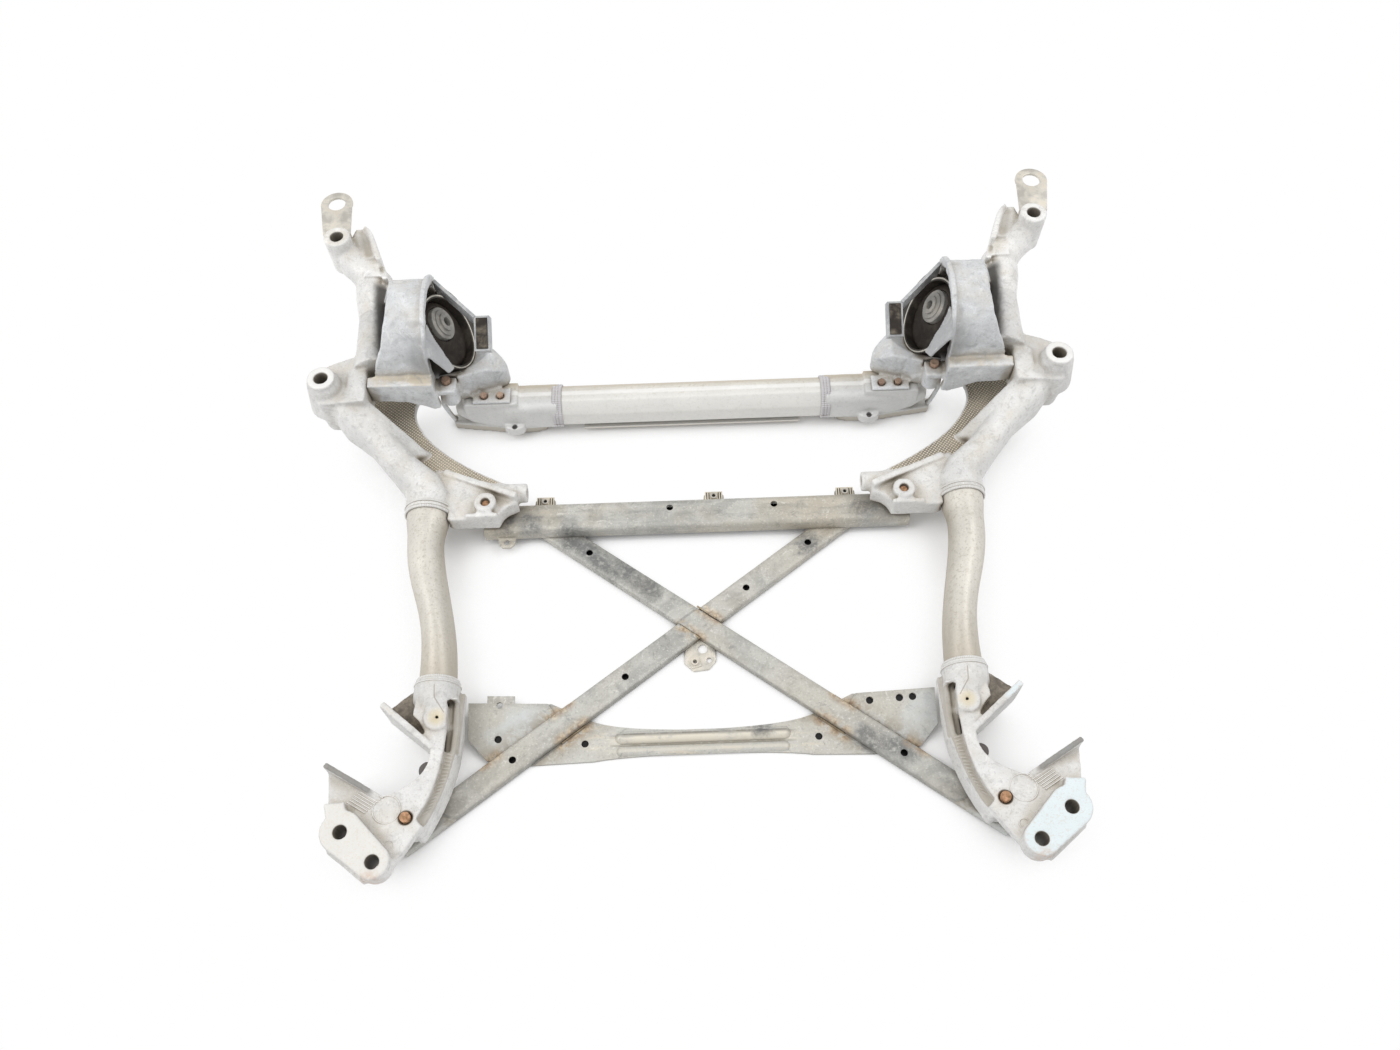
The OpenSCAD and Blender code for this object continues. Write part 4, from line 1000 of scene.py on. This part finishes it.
class SUBFRAME_OT_side_tubes(bpy.types.Operator):
    """Formed side tubes, drawn from ring to ring and smoothed"""

    bl_idname = "subframe.side_tubes"
    bl_label = "Side tubes"

    def execute(self, context):
        height = SIDE_TUBE_HEIGHT * MM
        for side, s in SIDES:
            x, y, a, b = metres(SIDE_STATIONS[0])
            piece = add(bpy.ops.mesh.primitive_circle_add, f"{side}_side_run", (a, b, 1.0), vertices=40, radius=1.0,
                        location=(s * x, y, height), rotation=(math.pi / 2, 0.0, 0.0), fill_type="NGON")
            edit(piece)
            last = (x, y, a, b)
            for station in SIDE_STATIONS[1:]:
                x, y, a, b = metres(station)
                bpy.ops.mesh.extrude_region_move(TRANSFORM_OT_translate={
                    "value": (s * (x - last[0]), y - last[1], 0.0), "orient_type": "GLOBAL"})
                bpy.ops.transform.resize(value=(a / last[2], 1.0, b / last[3]), orient_type="GLOBAL",
                                         center_override=(s * x, y, height))
                last = (x, y, a, b)
            bpy.ops.mesh.select_all(action="SELECT")
            bpy.ops.mesh.normals_make_consistent(inside=False)
            done()
            piece.data.shade_smooth()
            modify(piece, "SUBSURF", levels=2, render_levels=2)
            own(piece, "tube", "tube_aluminium", f"{side}_side_tube")
        return {"FINISHED"}


class SUBFRAME_OT_cross_tube(bpy.types.Operator):
    """Front cross tube and its cast ends with their bolt lobes"""

    bl_idname = "subframe.cross_tube"
    bl_label = "Front cross tube"

    def execute(self, context):
        piece = copy_of("front_cross_tube", "cross_tube_run")
        flatten(piece)
        own(smooth(piece, 28.0), "cross tube", "tube_aluminium", "front_cross_tube")
        turns = [math.radians(t) for t in range(0, 360, 15)]
        outline = [(221 + 13 * math.cos(t), 138.5 + 7.5 * math.sin(t)) for t in turns]
        x, y = LOBE_BORE
        for side, s in SIDES:
            lobe = carve(prism("lobe", s, outline, 14, 27), disc("bore", (s * x, y, 27), LOBE_BORE_RADIUS, 12, 0.1))
            cast(f"{side}_cross_tube_end", f"{side}_cross_end", "cross end", "cast_aluminium", [lobe], 0.0016, 3)
        return {"FINISHED"}


CONSOLE_LEG = ((297, 147, 100), (300, 146, 84), (303, 149, 60), (302, 155, 36), (299, 160, 12))
GUSSET = ((42, -20), (46, -46), (30, -60), (-4, -62), (-10, -50), (26, -33))


class SUBFRAME_OT_mounts(bpy.types.Operator):
    """Engine mounts: consoles, arched housings, cups, rubbers, cores and travel stops, with a near-black sector of
    painted shade beside each cup
    """

    bl_idname = "subframe.mounts"
    bl_label = "Engine mounts"

    def execute(self, context):
        turns = [math.radians(62 + 9 * i) for i in range(13)]
        shade_skirt = [(r * math.cos(t), r * math.sin(t)) for r, run in ((46, turns), (61, turns[::-1])) for t in run]
        for side, s in SIDES:
            leg = [(s * x, y, z) for x, y, z in CONSOLE_LEG]
            cast(f"{side}_mount_console", f"{side}_console_cast", "mount casting", "mount_casting",
                 [rod("leg", leg, 3.0)], 0.0014, 5)
            cast(f"{side}_mount_housing", f"{side}_housing_cast", "mount casting", "mount_casting",
                 [on_mount(prism("gusset", s, GUSSET, 1, 5.5), s)], 0.0014, 5, 0.0022, 0.014)
            # Near-black sector of painted shade beside the cup, a thin sheet sunk under the mount face
            own(on_mount(prism(f"{side}_cup_skirt", s, shade_skirt, -6, -3), s), "cup", "mount_steel")
            cast(f"{side}_mount_rubber", f"{side}_rubber_cone", "rubber", "rubber", (), 0.0022, 5)
            sheet(f"{side}_mount_cup", f"{side}_cup_shell", "cup", "mount_steel", 0.0007, 40)
            own(hoop(f"{side}_cup_rim", (s * 286.4, 203, 131.8), 45.3, 1.0, (0.0, -s * MOUNT_LEAN, 0.0)),
                "cup rim", "mount_steel")
            sheet(f"{side}_mount_core", f"{side}_core_disc", "core steel", "mount_steel", 0.0008, 40)
            sheet(f"{side}_stop_strap", f"{side}_stop_bar", "mount steel", "mount_steel", 0.0009)
            c, k = math.cos(STRAP_LEAN), math.sin(STRAP_LEAN)
            ribs = [
                block("rib", (s * 242, 184 + run * c - 8 * k, 148 + run * k + 8 * c), (11, 1.2, 1.6), tilt=STRAP_LEAN)
                for run in (-15.5 + 2.6 * i for i in range(4))
            ]
            cast(f"{side}_stop_buffer", f"{side}_stop_block", "buffer rubber", "rubber", ribs, 0.0009, 4)
        return {"FINISHED"}


class SUBFRAME_OT_brace(bpy.types.Operator):
    """Cross brace of folded sheet, with near-black sheets of painted shade under its front rail, arms and holes"""

    bl_idname = "subframe.brace"
    bl_label = "Cross brace"

    def execute(self, context):
        for part in ("front_rail", "rear_rail", "long_arm", "front_half_arm", "rear_half_arm", "centre_tab"):
            sheet(f"brace_{part}", f"{part}_sheet", "tab" if part == "centre_tab" else "zinc", "zinc_steel")
        # Near-black sheets of painted shade under the front rail, the arms and the holes
        dark = [block("liner", (1, 3, 15), (494, 30, 0.8))]
        for turn, start, end in ((-ARM_TURN, -178, 365), (ARM_TURN, 24, 178), (ARM_TURN, -365, -24)):
            mid, angle = (start + end) / 2, math.radians(turn)
            dark.append(block("liner", (mid * math.cos(angle), CROSSING[1] + mid * math.sin(angle), 4),
                              (end - start, 24, 0.8), turn))
        for spot in ((-128, -270, 1), (125.5, -270.5, 1), (-222, -263, 5.2), (184, -233, 5.4), (216, -233, 10.6),
                     (230, -233, 12.9)):
            dark.append(disc("liner", spot, 3.9, 0.7, 0.1))
        group("brace_inner_sheets", dark, "shadow", "zinc_steel")
        return {"FINISHED"}


class SUBFRAME_OT_fasteners(bpy.types.Operator):
    """Hexagon bolts with threads, and spring clips with near-black bars and discs of painted shade for their slots and
    bores
    """

    bl_idname = "subframe.fasteners"
    bl_label = "Fasteners"

    def execute(self, context):
        x, y = REAR_BOLT
        rear = [hex_bolt(f"{side}_rear_bolt", (s * x, y, 10), 10.8, 7, 54, up=False) for side, s in SIDES]
        own(joined(*rear), "rusty bolt", "rusty_bolt", "brace_rear_bolts")
        x, y = FRONT_BOLT
        front = [hex_bolt(f"{side}_front_bolt", (s * x, y, 25), 9, 7, 36, up=False) for side, s in SIDES]
        own(joined(*front), "rusty bolt", "rusty_bolt", "brace_front_bolts")
        seats = []
        for side, s in SIDES:
            seats.append(hex_bolt(f"{side}_lug_bolt", (s * 292, 152.5, 100), 6, 6, 34))
            for x in (234, 254):
                seats.append(hex_bolt(f"{side}_seat_bolt", (s * x, 156, 64), 4.6, 4, 30))
        own(joined(*seats), "seat bolt", "rusty_bolt", "console_bolts")
        clips, slot_shadows = [], []
        for x in (-180, 23, 181):
            clips.append(block("clip", (x, 30, 16), (21, 13, 2.4)))
            clips.append(block("clip_nut", (x, 30, 17.6), (7.5, 7.5, 1.8)))
            # Near-black disc and bars of painted shade stand for the clip's bore and slots
            slot_shadows.append(disc("clip_bore", (x, 30, 18.4), 2.0, 0.5, 0.1))
            for shift in (-8.4, -5.6, 5.6, 8.4):
                slot_shadows.append(block("slot", (x + shift, 30.5, 17.2), (1.0, 9, 0.5)))
        group("spring_clips", clips, "clip", "zinc_steel")
        group("clip_slots", slot_shadows, "shadow", "zinc_steel")
        paint("brace_clip_nuts", "tab")
        return {"FINISHED"}


# Place across and along, radius, and share of the weld bead's width
SOCKET_WELDS = ((312, -1.5, 26.2, 0.8), (312, 5.5, 27.6, 0.45), (283, -211.0, 22.0, 0.8), (283, -216.5, 24.6, 0.4))


class SUBFRAME_OT_welds(bpy.types.Operator):
    """Rippled weld beads at the tube sockets and on the brace"""

    bl_idname = "subframe.welds"
    bl_label = "Welds"

    def execute(self, context):
        sizes = context.scene.subframe_sizes
        tube = NODES["front_cross_tube"].data
        end = max(vertex.co.x for vertex in tube.vertices)
        rim = [(vertex.co.y * 1000, vertex.co.z * 1000) for vertex in tube.vertices if end - vertex.co.x < 1e-5]
        cy, cz = CROSS_AXIS
        far = max(math.hypot(y - cy, z - cz) for y, z in rim)
        rim = sorted({(round(y, 2), round(z, 2)) for y, z in rim if math.hypot(y - cy, z - cz) > far - 3.0},
                     key=lambda spot: math.atan2(spot[1] - cz, spot[0] - cy))
        for side, s in SIDES:
            rings = [
                weld("ring", circle(s * x, y, SIDE_TUBE_HEIGHT, radius), sizes.weld_size * share, True)
                for x, y, radius, share in SOCKET_WELDS
            ]
            group(f"{side}_side_welds", rings, "weld", "cast_aluminium")
            bands = [
                weld("band", [(s * (166 + shift), cy + (y - cy) * 1.03, cz + (z - cz) * 1.03) for y, z in rim],
                     sizes.weld_size, True)
                for shift in (-3.4, 0.2, 3.8)
            ]
            group(f"{side}_cross_weld", bands, "band weld", "cast_aluminium")
        beads = []
        for s in (-1, 1):
            for (ax, ay), (bx, by) in ARM_WELDS:
                beads.append(weld("bead", [(s * ax, ay, 4.4), (s * bx, by, 4.4)], sizes.brace_weld))
        for (ax, ay), (bx, by) in CROSS_WELDS:
            beads.append(weld("bead", [(ax, ay, 11.2), (bx, by, 11.2)], sizes.brace_weld))
        group("brace_beads", beads, "brace weld", "zinc_steel")
        return {"FINISHED"}


WHITE = (1.0, 1.0, 1.0, 1.0)
FLOOR_SIZE = 60.0
FLOOR_LEVEL = -0.0004
CAMERA_SPOT = (0.0, -0.674, 1.1685)
CAMERA_TURN = (math.radians(30.0), 0.0, math.radians(-2.0))
CAMERA_SHIFT = 4.4 / 1400.0


class SUBFRAME_OT_stage(bpy.types.Operator):
    """Pale floor, soft light and the camera at the picture's angle"""

    bl_idname = "subframe.stage"
    bl_label = "Stage"

    def execute(self, context):
        stage = context.scene.subframe_stage
        clear()
        bpy.ops.mesh.primitive_plane_add(size=FLOOR_SIZE, location=(0.0, 0.0, FLOOR_LEVEL))
        floor = named("floor")
        f = Finish("pale_floor")
        open_sky = f.node("ShaderNodeAmbientOcclusion", {"samples": 8}, {"Distance": 0.09}, "AO")
        seen = f.node("ShaderNodeLightPath", None, None, "Is Camera Ray")
        glossy = f.node("ShaderNodeLightPath", None, None, "Is Glossy Ray")
        matt = f.node("ShaderNodeBsdfDiffuse", None, {"Color": (*stage.floor, 1.0)})
        white = f.node("ShaderNodeEmission", None, {"Color": WHITE, "Strength": 1.0})
        lit = f.node("ShaderNodeMixShader", None,
                     {0: seen.larger(glossy) * open_sky.step(0.3, 0.8), 1: matt, 2: white})
        floor.data.materials.append(f.end(lit))

        world = bpy.data.worlds.new("soft_sky")
        context.scene.world = world
        world.use_nodes = True
        nodes, links = world.node_tree.nodes, world.node_tree.links
        choose = nodes.new("ShaderNodeMixShader")
        links.new(nodes.new("ShaderNodeLightPath").outputs["Is Camera Ray"], choose.inputs[0])
        skies = ((nodes["Background"], stage.sky), (nodes.new("ShaderNodeBackground"), 1.0))
        for index, (sky, strength) in enumerate(skies, 1):
            sky.inputs["Color"].default_value = WHITE
            sky.inputs["Strength"].default_value = strength
            links.new(sky.outputs[0], choose.inputs[index])
        links.new(choose.outputs[0], nodes["World Output"].inputs["Surface"])

        for name, spot, size, power in (
            ("key_lamp", (1.4, 0.4, 2.1), 1.4, stage.key * 0.85),
            ("fill_lamp", (-1.5, -0.2, 2.0), 1.6, stage.key * 1.15),
        ):
            clear()
            bpy.ops.object.light_add(type="AREA", location=spot)
            lamp = named(name)
            lamp.data.size = size
            lamp.data.energy = power
            lamp.rotation_euler = (-Vector(spot)).to_track_quat("-Z", "Y").to_euler()

        clear()
        bpy.ops.object.camera_add(location=CAMERA_SPOT)
        camera = named("camera")
        camera.rotation_mode = "ZYX"
        camera.rotation_euler = CAMERA_TURN
        camera.data.lens = stage.lens
        camera.data.sensor_width = 36.0
        camera.data.shift_x = CAMERA_SHIFT
        camera.data.clip_start = 0.05
        camera.data.clip_end = 50.0
        context.scene.camera = camera
        context.scene.view_settings.view_transform = "Standard"
        return {"FINISHED"}


PIECES = (
    SUBFRAME_OT_front_castings, SUBFRAME_OT_rear_castings, SUBFRAME_OT_horns, SUBFRAME_OT_side_tubes,
    SUBFRAME_OT_cross_tube, SUBFRAME_OT_mounts, SUBFRAME_OT_brace, SUBFRAME_OT_fasteners,
    SUBFRAME_OT_welds, SUBFRAME_OT_stage,
)


class SUBFRAME_PT_panel(bpy.types.Panel):
    """Lists the pieces and their settings"""

    bl_idname = "SUBFRAME_PT_panel"
    bl_label = "Front axle subframe"
    bl_space_type = "VIEW_3D"
    bl_region_type = "UI"
    bl_category = "Subframe"

    def draw(self, context):
        layout = self.layout
        for group in ("subframe_sizes", "subframe_colours", "subframe_stage"):
            settings = getattr(context.scene, group)
            for key in settings.bl_rna.properties.keys():
                if key not in ("rna_type", "name"):
                    layout.prop(settings, key)
        for piece in PIECES:
            layout.operator(piece.bl_idname)


GROUPS = (
    ("subframe_sizes", SubframeSizes), ("subframe_colours", SubframeColours), ("subframe_stage", SubframeStage),
)


def register():
    for name, group in GROUPS:
        bpy.utils.register_class(group)
        setattr(bpy.types.Scene, name, bpy.props.PointerProperty(type=group))
    for kind in (*PIECES, SUBFRAME_PT_panel):
        bpy.utils.register_class(kind)


def unregister():
    for kind in reversed((*PIECES, SUBFRAME_PT_panel)):
        bpy.utils.unregister_class(kind)
    for name, group in reversed(GROUPS):
        delattr(bpy.types.Scene, name)
        bpy.utils.unregister_class(group)


def main():
    register()
    for piece in PIECES:
        family, name = piece.bl_idname.split(".")
        getattr(getattr(bpy.ops, family), name)()
    clear()


if __name__ == "__main__":
    main()
